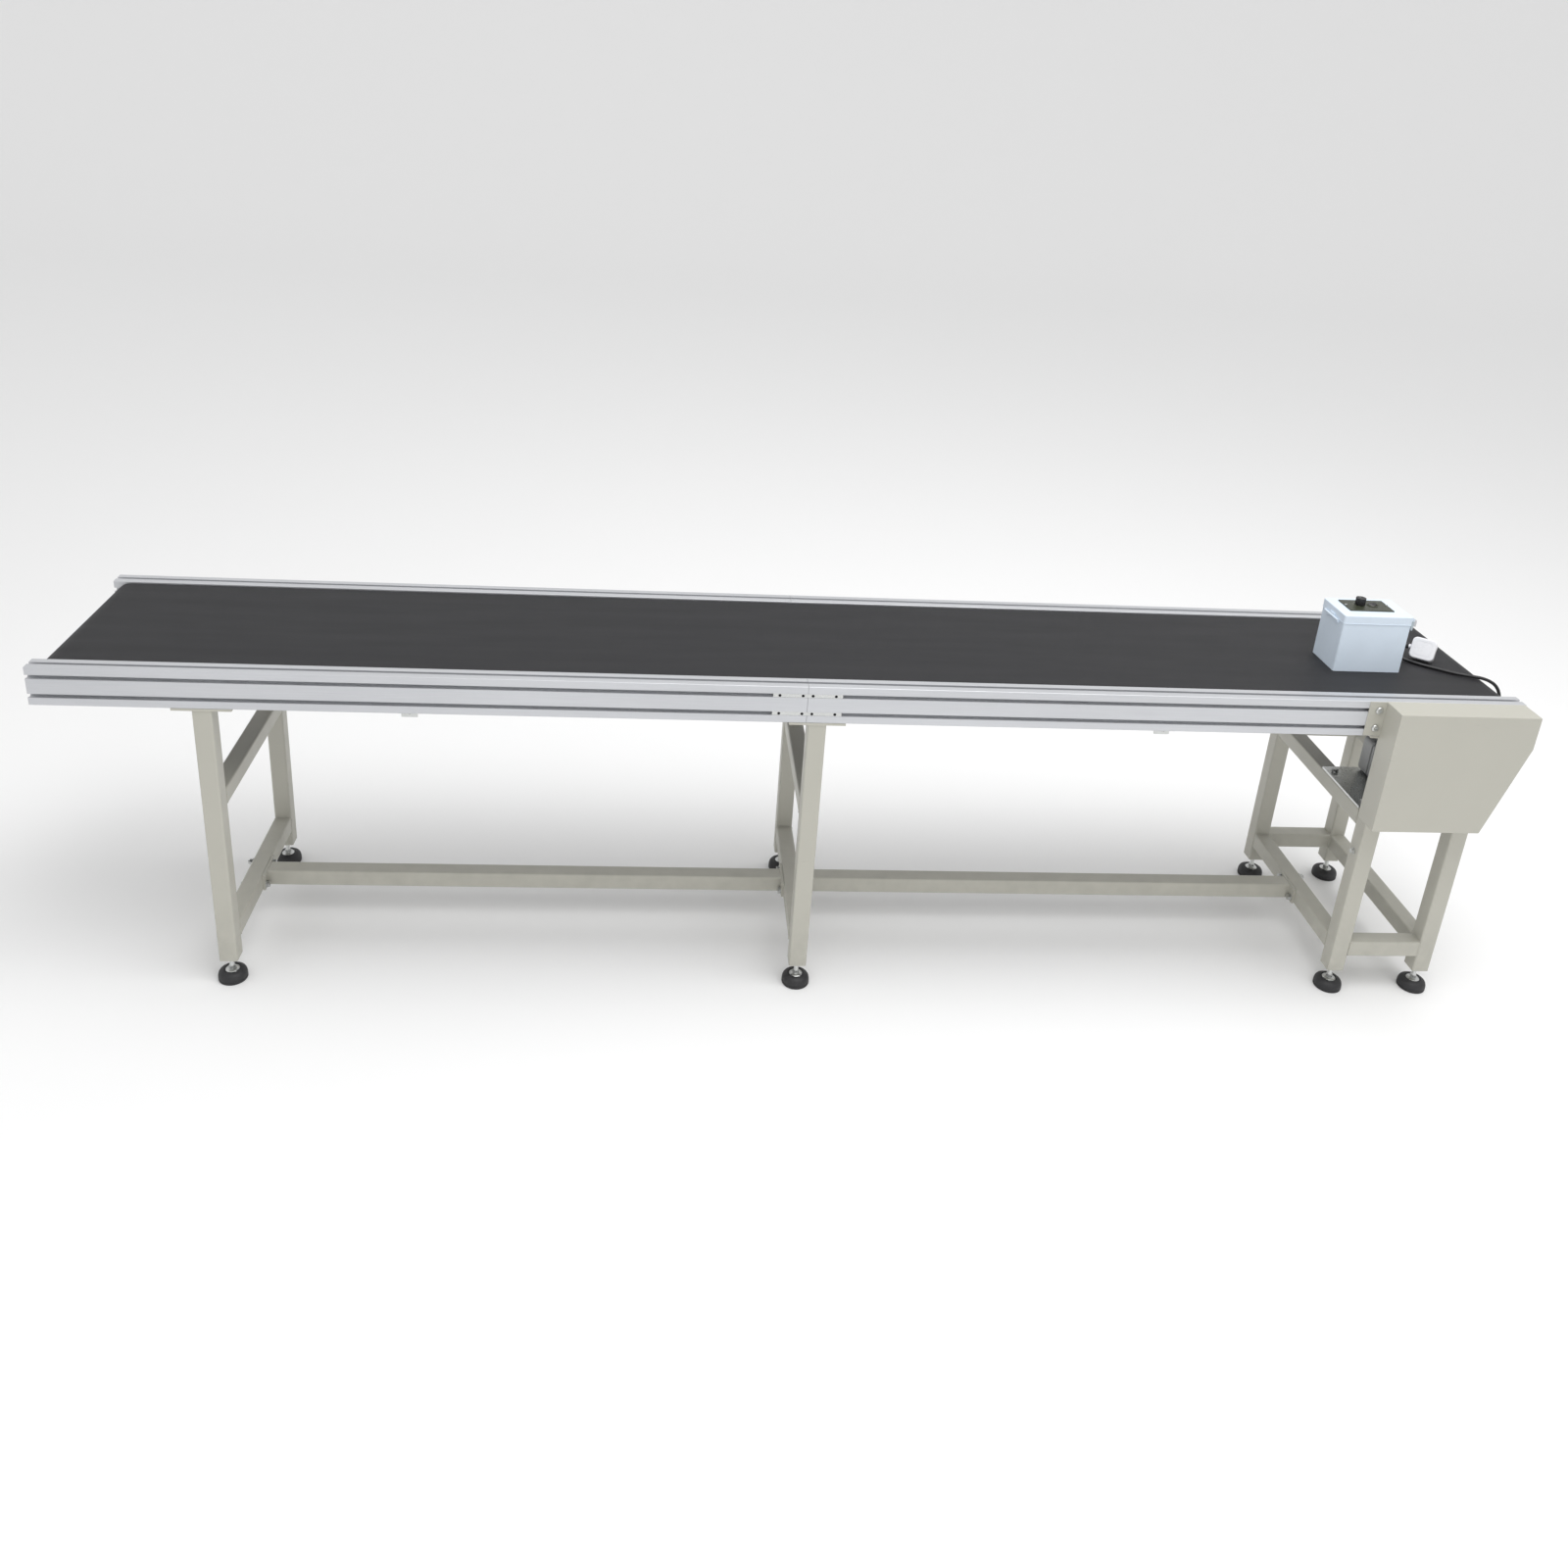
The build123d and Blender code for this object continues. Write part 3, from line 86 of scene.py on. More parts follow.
def length_property(name, value, description):
    return FloatProperty(name=name, description=description, default=value, unit="LENGTH", min=0.0,
                         precision=5)


class ConveyorSizes(bpy.types.PropertyGroup):
    cord_d: length_property("Cord diameter", 0.007, "Outside diameter of both cords")
    coil_r: length_property("Coil radius", 0.048, "Centreline radius of the outer turns of the coil")
    coil_pitch: length_property("Turn pitch", 0.007, "Step from one turn of the coil to the next")
    pad_r: length_property("Foot radius", 0.030, "Radius of a levelling foot's pad")
    pad_h: length_property("Pad height", 0.024, "Height of a levelling foot's pad")
    stud_r: length_property("Stud radius", 0.005, "Outside radius of a levelling foot's stud")
    thread_pitch: length_property("Thread pitch", 0.0015, "Pitch of a levelling foot's stud")
    weld_r: length_property("Weld radius", 0.0017, "Radius of one ripple of a weld")
    weld_pitch: length_property("Weld pitch", 0.0019, "Step from ripple to ripple")
    dial_r: length_property("Dial radius", 0.0150, "Radius of the tick marks round the speed knob")
    dial_ticks: IntProperty(name="Dial ticks", description="Tick marks round the speed knob", default=11,
                            min=2)
    light_power: FloatProperty(name="Key light", description="Power of the large overhead light",
                               default=116.0, unit="POWER", min=0.0)


class ConveyorColours(bpy.types.PropertyGroup):
    rail: colour_property("Rails", (0.570, 0.580, 0.602), "Anodised aluminium of the side rails")
    paint: colour_property("Paint", (0.470, 0.461, 0.405), "Powder coat of stand and cover")
    belt: colour_property("Belt", (0.0145, 0.0145, 0.0165), "Carrying face of the belt")
    box: colour_property("Box", (0.71, 0.805, 0.91), "Moulding of the control box")
    panel: colour_property("Panel", (0.040, 0.046, 0.028), "Face of the control panel")
    plug: colour_property("Plug", (0.80, 0.80, 0.82), "Moulding of the plug")
    jacket: colour_property("Cord", (0.012, 0.012, 0.013), "Jacket of the cords")
    rubber: colour_property("Foot pad", (0.019, 0.019, 0.021), "Pads of the levelling feet")
    zinc: colour_property("Zinc", (0.62, 0.63, 0.62), "Zinc plated fasteners")
    floor: colour_property("Floor", (0.92, 0.92, 0.92), "Studio floor")


def sizes():
    return bpy.context.scene.conveyor_sizes


def colours():
    return bpy.context.scene.conveyor_colours


# ---------------------------------------------------------------- materials
class Finish:
    """A node material that is built up from a Principled shader."""

    def __init__(self, name, colour, roughness=0.5, metallic=0.0, coat=0.0):
        self.material = bpy.data.materials.new(name)
        self.material.use_nodes = True
        self.tree = self.material.node_tree
        self.shader = self.tree.nodes["Principled BSDF"]
        self.colour = tuple(colour)
        self.shader.inputs["Base Color"].default_value = (*self.colour, 1.0)
        self.shader.inputs["Roughness"].default_value = roughness
        self.shader.inputs["Metallic"].default_value = metallic
        self.shader.inputs["Coat Weight"].default_value = coat
        self.material.diffuse_color = (*self.colour, 1.0)

    def add(self, kind, values=(), **attributes):
        node = self.tree.nodes.new(kind)
        for key, value in attributes.items():
            setattr(node, key, value)
        for key, value in dict(values).items():
            if isinstance(value, bpy.types.NodeSocket):
                self.tree.links.new(value, node.inputs[key])
            else:
                node.inputs[key].default_value = value
        return node

    def coords(self, stretch=(1.0, 1.0, 1.0)):
        place = self.add("ShaderNodeTexCoord").outputs["Object"]
        return self.add("ShaderNodeMapping", {"Vector": place, "Scale": stretch}).outputs[0]

    def noise(self, scale, detail=3.0, rough=0.55, stretch=(1.0, 1.0, 1.0), twist=0.0):
        values = {"Vector": self.coords(stretch), "Scale": scale, "Detail": detail, "Roughness": rough,
                  "Distortion": twist}
        return self.add("ShaderNodeTexNoise", values).outputs["Fac"]

    def spread(self, value, low, high, start=0.3, end=0.7):
        values = {"Value": value, "From Min": start, "From Max": end, "To Min": low, "To Max": high}
        return self.add("ShaderNodeMapRange", values).outputs["Result"]

    def math(self, operation, first, second):
        return self.add("ShaderNodeMath", {0: first, 1: second}, operation=operation).outputs[0]

    def tint(self, factor, other, base=None):
        first = base if base is not None else (*self.colour, 1.0)
        second = other if isinstance(other, bpy.types.NodeSocket) else (*other, 1.0)
        mixed = self.add("ShaderNodeMix", {"Factor": factor, 6: first, 7: second}, data_type="RGBA")
        return mixed.outputs[2]

    def shade(self, factor):
        """The base colour made darker, as a colour to mix in."""
        return tuple(c * factor for c in self.colour)

    def paint(self, colour):
        self.tree.links.new(colour, self.shader.inputs["Base Color"])
        return self

    def roughen(self, value):
        self.tree.links.new(value, self.shader.inputs["Roughness"])
        return self

    def bump(self, height, distance, strength=0.6):
        values = {"Height": height, "Distance": distance, "Strength": strength}
        if self.shader.inputs["Normal"].is_linked:
            values["Normal"] = self.shader.inputs["Normal"].links[0].from_socket
        node = self.add("ShaderNodeBump", values)
        self.tree.links.new(node.outputs["Normal"], self.shader.inputs["Normal"])
        return self

    def weave(self, scale, distortion, detail):
        """Threads along X and Y that cross."""
        ways = []
        for way in "XY":
            values = {"Vector": self.coords(), "Scale": scale, "Distortion": distortion, "Detail": detail}
            ways.append(self.add("ShaderNodeTexWave", values, bands_direction=way).outputs["Fac"])
        return self.math("MULTIPLY", *ways)

    def height_band(self, low, high):
        """1 below the height low, 0 above the height high."""
        z = self.add("ShaderNodeSeparateXYZ", {0: self.coords()}).outputs["Z"]
        values = {"Value": z, "From Min": low, "From Max": high, "To Min": 1.0, "To Max": 0.0}
        return self.add("ShaderNodeMapRange", values).outputs["Result"]


def anodised_finish():
    """Satin aluminium with the long fine lines of extrusion and a cloudy anodised film."""
    finish = Finish("anodised_aluminium", colours().rail, 0.42, 0.50)
    lines = finish.noise(30.0, 4.0, 0.6, (0.4, 26.0, 26.0))
    cloud = finish.noise(5.0, 3.0, 0.5, (0.5, 2.0, 2.0))
    colour = finish.tint(finish.spread(lines, 0.0, 0.5), finish.shade(0.86))
    colour = finish.tint(finish.spread(cloud, 0.0, 0.45), finish.shade(1.12), colour)
    finish.paint(colour)
    finish.roughen(finish.spread(lines, 0.30, 0.44))
    finish.bump(lines, 0.00006, 0.5)
    return finish.bump(finish.noise(900.0, 2.0), 0.00002, 0.4).material


def powder_coat_finish():
    """Powder coat with orange peel, a few scuffs and patchy darkening low on the legs."""
    finish = Finish("powder_coated_steel", colours().paint, 0.42, 0.0)
    cloud = finish.noise(6.0, 4.0)
    colour = finish.tint(finish.spread(cloud, 0.0, 0.35), finish.shade(0.93))
    # Patchy darkening of the paint, fading out from 0.02 m to 0.22 m above the floor
    low_patches = finish.spread(finish.noise(28.0, 6.0), 0.0, 0.7)
    low_darkening = finish.math("MULTIPLY", finish.height_band(0.02, 0.22), low_patches)
    colour = finish.tint(low_darkening, finish.shade(0.72), colour)
    scuff = finish.spread(finish.noise(46.0, 8.0, 0.7, (0.25, 1.0, 1.0), 0.6), 0.0, 0.65, 0.66, 0.72)
    colour = finish.tint(scuff, finish.shade(0.80), colour)
    finish.paint(colour)
    finish.roughen(finish.spread(finish.noise(18.0, 5.0), 0.36, 0.50))
    finish.bump(finish.noise(420.0, 2.0, 0.4), 0.00010, 0.35)
    return finish.bump(finish.noise(3.0, 2.0), 0.0012, 0.12).material


def belt_finish():
    """A matt rubber cover: a fine weave, a little dust and long faint marks where goods have slid."""
    finish = Finish("belt_cover", colours().belt, 0.58, 0.0)
    finish.shader.inputs["Specular IOR Level"].default_value = 0.38
    drag = finish.noise(7.0, 4.0, 0.5, (0.5, 3.0, 1.0))
    dust = finish.noise(240.0, 3.0, 0.7)
    colour = finish.tint(finish.spread(drag, 0.0, 0.35), finish.shade(1.35))
    colour = finish.tint(finish.spread(dust, 0.0, 0.30, 0.55, 0.8), finish.shade(2.2), colour)
    finish.paint(colour)
    finish.roughen(finish.spread(drag, 0.54, 0.62))
    finish.bump(finish.weave(210.0, 1.2, 1.0), 0.00010, 0.25)
    return finish.bump(finish.noise(1.6, 2.0, 0.5, (1.0, 2.4, 1.0)), 0.004, 0.06).material


def metal_finish(name, colour, roughness, streak=(1.0, 1.0, 1.0), grain=120.0, depth=0.00004, dark=0.82):
    """Bare or plated metal with a directional grain and patchy brightness."""
    finish = Finish(name, colour, roughness, 1.0)
    lines = finish.noise(grain, 4.0, 0.6, streak)
    patch = finish.noise(60.0, 4.0)
    colour = finish.tint(finish.spread(patch, 0.0, 0.6), finish.shade(dark))
    finish.paint(colour)
    finish.roughen(finish.spread(lines, roughness * 0.75, roughness * 1.3))
    return finish.bump(lines, depth, 0.5).material


def moulded_finish(name, colour, roughness, grain=700.0, depth=0.00004, vary=0.10, coat=0.0):
    """Moulded plastic: a fine even texture and a faint drift in colour and gloss."""
    finish = Finish(name, colour, roughness, 0.0, coat)
    cloud = finish.noise(14.0, 4.0)
    colour = finish.tint(finish.spread(cloud, 0.0, 1.0), finish.shade(1.0 - vary))
    smear = finish.spread(finish.noise(35.0, 7.0, 0.65, (1.0, 0.5, 1.0), 0.5), 0.0, 0.5, 0.58, 0.75)
    colour = finish.tint(smear, finish.shade(1.0 - 1.3 * vary), colour)
    finish.paint(colour)
    finish.roughen(finish.spread(finish.noise(22.0, 5.0), roughness * 0.85, roughness * 1.2))
    return finish.bump(finish.noise(grain, 2.0, 0.4), depth, 0.5).material


def rubber_finish(name, colour, roughness=0.62, depth=0.00008):
    """Black rubber with a thin bloom of dust."""
    finish = Finish(name, colour, roughness, 0.0)
    dust = finish.noise(130.0, 6.0, 0.7)
    colour = finish.tint(finish.spread(dust, 0.0, 0.5, 0.5, 0.8), (0.06, 0.058, 0.054))
    finish.paint(colour)
    finish.roughen(finish.spread(dust, roughness * 0.85, roughness * 1.15))
    return finish.bump(finish.noise(520.0, 3.0), depth, 0.5).material


def jacket_finish():
    """The cords' smooth jacket, lightly scuffed."""
    finish = Finish("cord_jacket", colours().jacket, 0.38, 0.0)
    scuff = finish.noise(160.0, 5.0, 0.7)
    finish.paint(finish.tint(finish.spread(scuff, 0.0, 0.4, 0.55, 0.8), (0.05, 0.05, 0.05)))
    finish.roughen(finish.spread(scuff, 0.30, 0.48))
    return finish.bump(finish.noise(900.0, 2.0), 0.00003, 0.5).material


def strap_finish():
    """Woven nylon of the tie round the coil."""
    finish = Finish("tie_weave", (0.016, 0.016, 0.018), 0.7, 0.0)
    weave = finish.weave(420.0, 0.8, 2.0)
    finish.paint(finish.tint(finish.spread(weave, 0.0, 1.0, 0.0, 1.0), (0.05, 0.05, 0.054)))
    finish.roughen(finish.spread(finish.noise(300.0, 3.0), 0.6, 0.8))
    return finish.bump(weave, 0.00015, 0.6).material


def build_finishes():
    """Every material, by the record's slot name or by the name of a finish that only new pieces have."""
    c = colours()
    round_lines = (1.0, 12.0, 1.0)
    return {
        "anodised_aluminium": anodised_finish(),
        "powder_coated_steel": powder_coat_finish(),
        "belt_cover": belt_finish(),
        "bed_sheet_steel": metal_finish("bed_sheet_steel", (0.55, 0.56, 0.57), 0.34, (0.3, 8.0, 1.0)),
        "zinc_plated_steel": metal_finish("zinc_plated_steel", c.zinc, 0.30, grain=260.0, depth=0.00001,
                                          dark=0.86),
        "machined_steel": metal_finish("machined_steel", (0.56, 0.56, 0.57), 0.26, round_lines, 90.0),
        "bearing_steel": metal_finish("bearing_steel", (0.68, 0.69, 0.71), 0.16, round_lines, 150.0, 0.00001),
        "pulley_aluminium": metal_finish("pulley_aluminium", (0.64, 0.65, 0.67), 0.30, round_lines, 140.0),
        "v_belt_rubber": rubber_finish("v_belt_rubber", (0.02, 0.02, 0.021)),
        "black_oxide_steel": metal_finish("black_oxide_steel", (0.030, 0.030, 0.034), 0.40, grain=400.0),
        "motor_paint": moulded_finish("motor_paint", (0.43, 0.44, 0.44), 0.40, 380.0, 0.00008),
        "box_plastic": moulded_finish("box_plastic", c.box, 0.38, 800.0, 0.00003, 0.05),
        "latch_plastic": moulded_finish("latch_plastic", (0.50, 0.57, 0.61), 0.36),
        "panel_plastic": moulded_finish("panel_plastic", c.panel, 0.34, 900.0, 0.00003, 0.18),
        "knob_plastic": moulded_finish("knob_plastic", (0.014, 0.014, 0.015), 0.34, 900.0, 0.00002, 0.2),
        "switch_plastic": moulded_finish("switch_plastic", (0.020, 0.020, 0.021), 0.16, 900.0, 0.00001, 0.2),
        "gland_plastic": moulded_finish("gland_plastic", (0.022, 0.022, 0.023), 0.46, 500.0, 0.00005, 0.2),
        "cord_jacket": jacket_finish(),
        "plug_plastic": moulded_finish("plug_plastic", c.plug, 0.26, 900.0, 0.00001, 0.03, 0.3),
        "plug_brass": metal_finish("plug_brass", (0.66, 0.55, 0.33), 0.24, grain=300.0),
        "foot_assembly": rubber_finish("foot_assembly", c.rubber, 0.55),
        "tie_weave": strap_finish(),
        "dial_print": moulded_finish("dial_print", (0.62, 0.63, 0.58), 0.45, 900.0, 0.00001),
    }


FINISHES = {}


def dress(piece, finish):
    piece.data.materials.clear()
    piece.data.materials.append(FINISHES[finish])


# ---------------------------------------------------------------- mesh helpers
def mesh_object(name, mesh):
    piece = bpy.data.objects.new(name, mesh)
    bpy.context.scene.collection.objects.link(piece)
    return piece


def object_from(bm, name, smooth_angle=None):
    mesh = bpy.data.meshes.new(name)
    bm.to_mesh(mesh)
    bm.free()
    piece = mesh_object(name, mesh)
    if smooth_angle is not None:
        mesh.shade_smooth()
        mesh.set_sharp_from_angle(angle=math.radians(smooth_angle))
    return piece


def turned(name, profile, centre, segments=48):
    """A closed turned shape about +Z from (radius, height) points that start and end on the axis."""
    bm = bmesh.new()
    rings = []
    for radius, height in profile:
        if radius < 1e-7:
            rings.append([bm.verts.new((centre.x, centre.y, centre.z + height))])
            continue
        angles = (2 * math.pi * i / segments for i in range(segments))
        rings.append([bm.verts.new((centre.x + radius * math.cos(a), centre.y + radius * math.sin(a),
                                    centre.z + height)) for a in angles])
    for low, high in zip(rings, rings[1:]):
        for i in range(segments):
            j = (i + 1) % segments
            corners = [low[i % len(low)], low[j % len(low)], high[j % len(high)], high[i % len(high)]]
            bm.faces.new(list(dict.fromkeys(corners)))
    bmesh.ops.recalc_face_normals(bm, faces=bm.faces)
    return object_from(bm, name, 35)


def settle(piece, name):
    """The evaluated mesh of a piece as a plain object, which takes the piece's place."""
    bpy.context.view_layer.update()
    evaluated = piece.evaluated_get(bpy.context.evaluated_depsgraph_get())
    mesh = bpy.data.meshes.new_from_object(evaluated)
    old = piece.data
    bpy.data.objects.remove(piece)
    bpy.data.meshes.remove(old)
    mesh.name = name
    return mesh_object(name, mesh)


# ---------------------------------------------------------------- geometry node trees
class Tree:
    """A geometry node tree with named inputs, for one kind of repeated detail."""

    def __init__(self, name, inputs):
        self.group = bpy.data.node_groups.new(name, "GeometryNodeTree")
        self.group.is_modifier = True
        face = self.group.interface
        face.new_socket("Geometry", in_out="INPUT", socket_type="NodeSocketGeometry")
        for label, kind in inputs:
            face.new_socket(label, in_out="INPUT", socket_type=kind)
        face.new_socket("Geometry", in_out="OUTPUT", socket_type="NodeSocketGeometry")
        self.inputs = self.group.nodes.new("NodeGroupInput")
        self.outputs = self.group.nodes.new("NodeGroupOutput")

    def given(self, label):
        return self.inputs.outputs[label]

    def add(self, kind, values=(), **attributes):
        node = self.group.nodes.new(kind)
        for key, value in attributes.items():
            setattr(node, key, value)
        for key, value in dict(values).items():
            if isinstance(value, bpy.types.NodeSocket):
                self.group.links.new(value, node.inputs[key])
            else:
                node.inputs[key].default_value = value
        return node

    def finish(self, instances, keep=None):
        real = self.add("GeometryNodeRealizeInstances", {"Geometry": instances}).outputs[0]
        if keep is not None:
            join = self.add("GeometryNodeJoinGeometry")
            self.group.links.new(real, join.inputs[0])
            self.group.links.new(keep, join.inputs[0])
            real = join.outputs[0]
        done = self.add("GeometryNodeSetMaterial", {"Geometry": real, "Material": self.given("Material")})
        self.group.links.new(done.outputs[0], self.outputs.inputs[0])

    def apply(self, piece, name, values):
        """Runs the tree on a piece and returns the result as a plain object."""
        modifier = piece.modifiers.new(name, "NODES")
        modifier.node_group = self.group
        sockets = {s.name: s.identifier for s in self.group.interface.items_tree if s.in_out == "INPUT"}
        for label, value in values.items():
            modifier[sockets[label]] = value
        return settle(piece, name)


REAL, WHOLE, PLACE, STUFF = "NodeSocketFloat", "NodeSocketInt", "NodeSocketVector", "NodeSocketMaterial"


def weld_tree():
    """Ripples of weld metal along every edge of the mesh."""
    tree = Tree("weld_ripples", [("Radius", REAL), ("Pitch", REAL), ("Seed", WHOLE), ("Material", STUFF)])
    line = tree.add("GeometryNodeMeshToCurve", {"Mesh": tree.given("Geometry")})
    even = tree.add("GeometryNodeResampleCurve", {"Curve": line.outputs[0], "Length": tree.given("Pitch")},
                    mode="LENGTH")
    drop = tree.add("GeometryNodeMeshIcoSphere", {"Radius": tree.given("Radius"), "Subdivisions": 2})
    size = tree.add("FunctionNodeRandomValue", {2: 0.85, 3: 1.15, "Seed": tree.given("Seed")})
    spots = tree.add("GeometryNodeInstanceOnPoints", {"Points": even.outputs[0], "Instance": drop.outputs[0],
                                                      "Scale": size.outputs[1]})
    tree.finish(spots.outputs[0])
    return tree


def thread_tree():
    """Ridges of a thread stacked along +Z above a point, added to the mesh."""
    tree = Tree("stud_thread", [("Radius", REAL), ("Pitch", REAL), ("Count", WHOLE), ("Start", PLACE),
                                ("Material", STUFF)])
    step = tree.add("ShaderNodeCombineXYZ", {"Z": tree.given("Pitch")})
    line = tree.add("GeometryNodeMeshLine", {"Count": tree.given("Count"), "Offset": step.outputs[0],
                                             "Start Location": tree.given("Start")}, mode="OFFSET")
    root = tree.add("ShaderNodeMath", {0: tree.given("Radius"), 1: 0.88}, operation="MULTIPLY")
    ridge = tree.add("GeometryNodeMeshCone", {"Vertices": 24, "Radius Top": root.outputs[0],
                                              "Radius Bottom": tree.given("Radius"),
                                              "Depth": tree.given("Pitch")})
    spots = tree.add("GeometryNodeInstanceOnPoints", {"Points": line.outputs[0],
                                                      "Instance": ridge.outputs[0]})
    tree.finish(spots.outputs[0], tree.given("Geometry"))
    return tree


def tick_tree():
    """Small upright bars round part of a circle, pointing at its centre."""
    tree = Tree("dial_ticks", [("Radius", REAL), ("Count", WHOLE), ("Bar", PLACE), ("Centre", PLACE),
                               ("Material", STUFF)])
    start, sweep = math.radians(-60), math.radians(300)
    arc = tree.add("GeometryNodeCurveArc", {"Resolution": tree.given("Count"), "Radius": tree.given("Radius"),
                                            "Start Angle": start, "Sweep Angle": sweep})
    marks = tree.add("GeometryNodeCurveToPoints", {"Curve": arc.outputs[0]}, mode="EVALUATED")
    bar = tree.add("GeometryNodeMeshCube", {"Size": tree.given("Bar")})
    spots = tree.add("GeometryNodeInstanceOnPoints", {"Points": marks.outputs["Points"],
                                                      "Instance": bar.outputs[0],
                                                      "Rotation": marks.outputs["Rotation"]})
    placed = tree.add("GeometryNodeTransform", {"Geometry": spots.outputs[0],
                                                "Translation": tree.given("Centre")})
    tree.finish(placed.outputs[0])
    return tree


# ---------------------------------------------------------------- cords
def cord_curve(name, points, diameter):
    """A smooth cord on the given control points, which are in metres."""
    data = bpy.data.curves.new(name, "CURVE")
    data.dimensions = "3D"
    spline = data.splines.new("NURBS")
    spline.points.add(len(points) - 1)
    for spot, place in zip(spline.points, points):
        spot.co = (*place, 1.0)
    spline.order_u = 3
    spline.use_endpoint_u = True
    spline.resolution_u = 10
    data.bevel_depth = diameter / 2
    data.bevel_resolution = 6
    data.use_fill_caps = True
    piece = bpy.data.objects.new(name, data)
    bpy.context.scene.collection.objects.link(piece)
    data.materials.append(FINISHES["cord_jacket"])
    return piece


def from_drive(points):
    """Places given from the drive roller's axis, the belt's middle line and its top."""
    return [Vector((DRIVE.x + x, MID_Y + y, BELT_TOP + z)) for x, y, z in points]


GROUND = 0.0038           # a lying cord's centre above the belt
MAINS_START = [(-0.2155, 0.028, 0.0127), (-0.2163, 0.052, 0.0065), (-0.2178, 0.074, GROUND)]
COIL_CENTRE = (-0.170, 0.095)
COIL_STEPS = 12           # points for each turn of the coil
COIL_TURNS = 5.5          # half of them inwards on the belt, half back outwards on top of those
CLIMB = 0.3               # share of a turn in which the cord climbs onto the lower layer
LAYER_GAP = 0.0001        # room between the coil's layers
UNEVEN = 0.0002           # how far a turn strays from a true circle
PLUG_TURN = math.radians(38.0)
PLUG_TILT = math.atan2(0.0097, 0.0177)
PLUG_HALF_L, PLUG_HALF_W, PLUG_HALF_T, PLUG_GRIP = 0.025, 0.024, 0.011, 0.005
LEAD_POINTS = [(-0.138, -0.019, 0.0127), (-0.117, -0.026, 0.0046), (-0.094, -0.0495, GROUND),
               (-0.068, -0.0695, GROUND), (-0.036, -0.0935, GROUND), (-0.010, -0.108, 0.005),
               (0.022, -0.1185, 0.004), (0.047, -0.127, -0.0085), (0.059, -0.131, -0.038),
               (0.059, -0.1315, -0.076), (0.049, -0.126, -0.112), (0.038, -0.120, -0.146)]
LEAD_END_WAYS = [(0.060, -0.012, 0.038), (0.045, -0.008, 0.014), (0.023, -0.0035, 0.002), (0.0, 0.0, 0.0)]


def coil_points():
    """The cord's turns: a flat spiral inwards, a short climb, and a second spiral outwards on top."""
    s = sizes()
    fold = COIL_TURNS / 2
    lift = s.coil_pitch + LAYER_GAP
    fatter = 1 / math.cos(math.pi / COIL_STEPS)
    points = []
    for i in range(int(COIL_TURNS * COIL_STEPS) + 1):
        turn = i / COIL_STEPS
        radius = s.coil_r - s.coil_pitch * min(turn, COIL_TURNS - turn)
        climb = min(1.0, max(0.0, (turn - fold) / CLIMB + 0.5))
        wobble = UNEVEN * math.sin(2.3 * turn * math.pi)
        angle = math.pi - 2 * math.pi * turn
        reach = radius * fatter + wobble
        points.append((COIL_CENTRE[0] + reach * math.cos(angle), COIL_CENTRE[1] + reach * math.sin(angle),
                       GROUND + lift * climb))
    return points


def round_corners(low, high, radius, steps=5):
    """Points round a rectangle with round corners, each with its outward direction."""
    points = []
    for x, y, start in ((high[0] - radius, high[1] - radius, 0), (low[0] + radius, high[1] - radius, 90),
                        (low[0] + radius, low[1] + radius, 180), (high[0] - radius, low[1] + radius, 270)):
        for i in range(steps + 1):
            angle = math.radians(start + 90 * i / steps)
            out = (math.cos(angle), math.sin(angle))
            points.append((x + radius * out[0], y + radius * out[1], *out))
    return points


def coil_tie():
    """A strap round all the turns on the coil's far side, its end lying on itself on top."""
    s = sizes()
    half_width, thick = 0.0050, 0.0009
    inner_r = s.coil_r - s.coil_pitch * COIL_TURNS / 2 - s.cord_d / 2 - 0.0010
    outer_r = s.coil_r + s.cord_d / 2 - s.coil_pitch / 4 + 0.0008
    top = GROUND + 1.5 * s.coil_pitch + 0.0004
    centre = Vector((DRIVE.x + COIL_CENTRE[0], MID_Y + COIL_CENTRE[1], BELT_TOP))
    inside = round_corners((inner_r, 0.00025), (outer_r, top), 0.0030)
    outside = round_corners((inner_r - thick, 0.00004), (outer_r + thick, top + thick), 0.0036)
    bm = bmesh.new()
    loops = []
    for line, way in ((inside, -1), (inside, 1), (outside, 1), (outside, -1)):
        loops.append([bm.verts.new(centre + Vector((way * half_width, y, z))) for y, z, *_ in line])
    for first, second in zip(loops, loops[1:] + loops[:1]):
        for i in range(len(first)):
            j = (i + 1) % len(first)
            bm.faces.new((first[i], first[j], second[j], second[i]))
    end = bmesh.ops.create_cube(bm, size=1.0)
    bmesh.ops.scale(bm, verts=end["verts"], vec=(2 * half_width, 0.014, thick))
    bmesh.ops.translate(bm, verts=end["verts"],
                        vec=centre + Vector((0.0002, (inner_r + outer_r) / 2 + 0.001, top + 1.45 * thick)))
    edges = list({edge for vert in end["verts"] for edge in vert.link_edges})
    bmesh.ops.bevel(bm, geom=edges, offset=0.0002, segments=2, affect="EDGES")
    bmesh.ops.recalc_face_normals(bm, faces=bm.faces)
    tie = object_from(bm, "coil_tie", 40)
    dress(tie, "tie_weave")
    return tie


def relief(name, route, share, thick, thin):
    """A tapered rubber sleeve on the first stretch of a cord's line."""
    first, second, third = (Vector(place) for place in route[:3])
    middle = (second + third) / 2
    near, far = first.lerp(second, share), second.lerp(middle, share)
    piece = cord_curve(name, [first, near, near.lerp(far, share)], 2 * thick)
    for spot, radius in zip(piece.data.splines[0].points, (thick, (thick + thin) / 2, thin)):
        spot.radius = radius / thick
    dress(piece, "cord_jacket")
    return piece


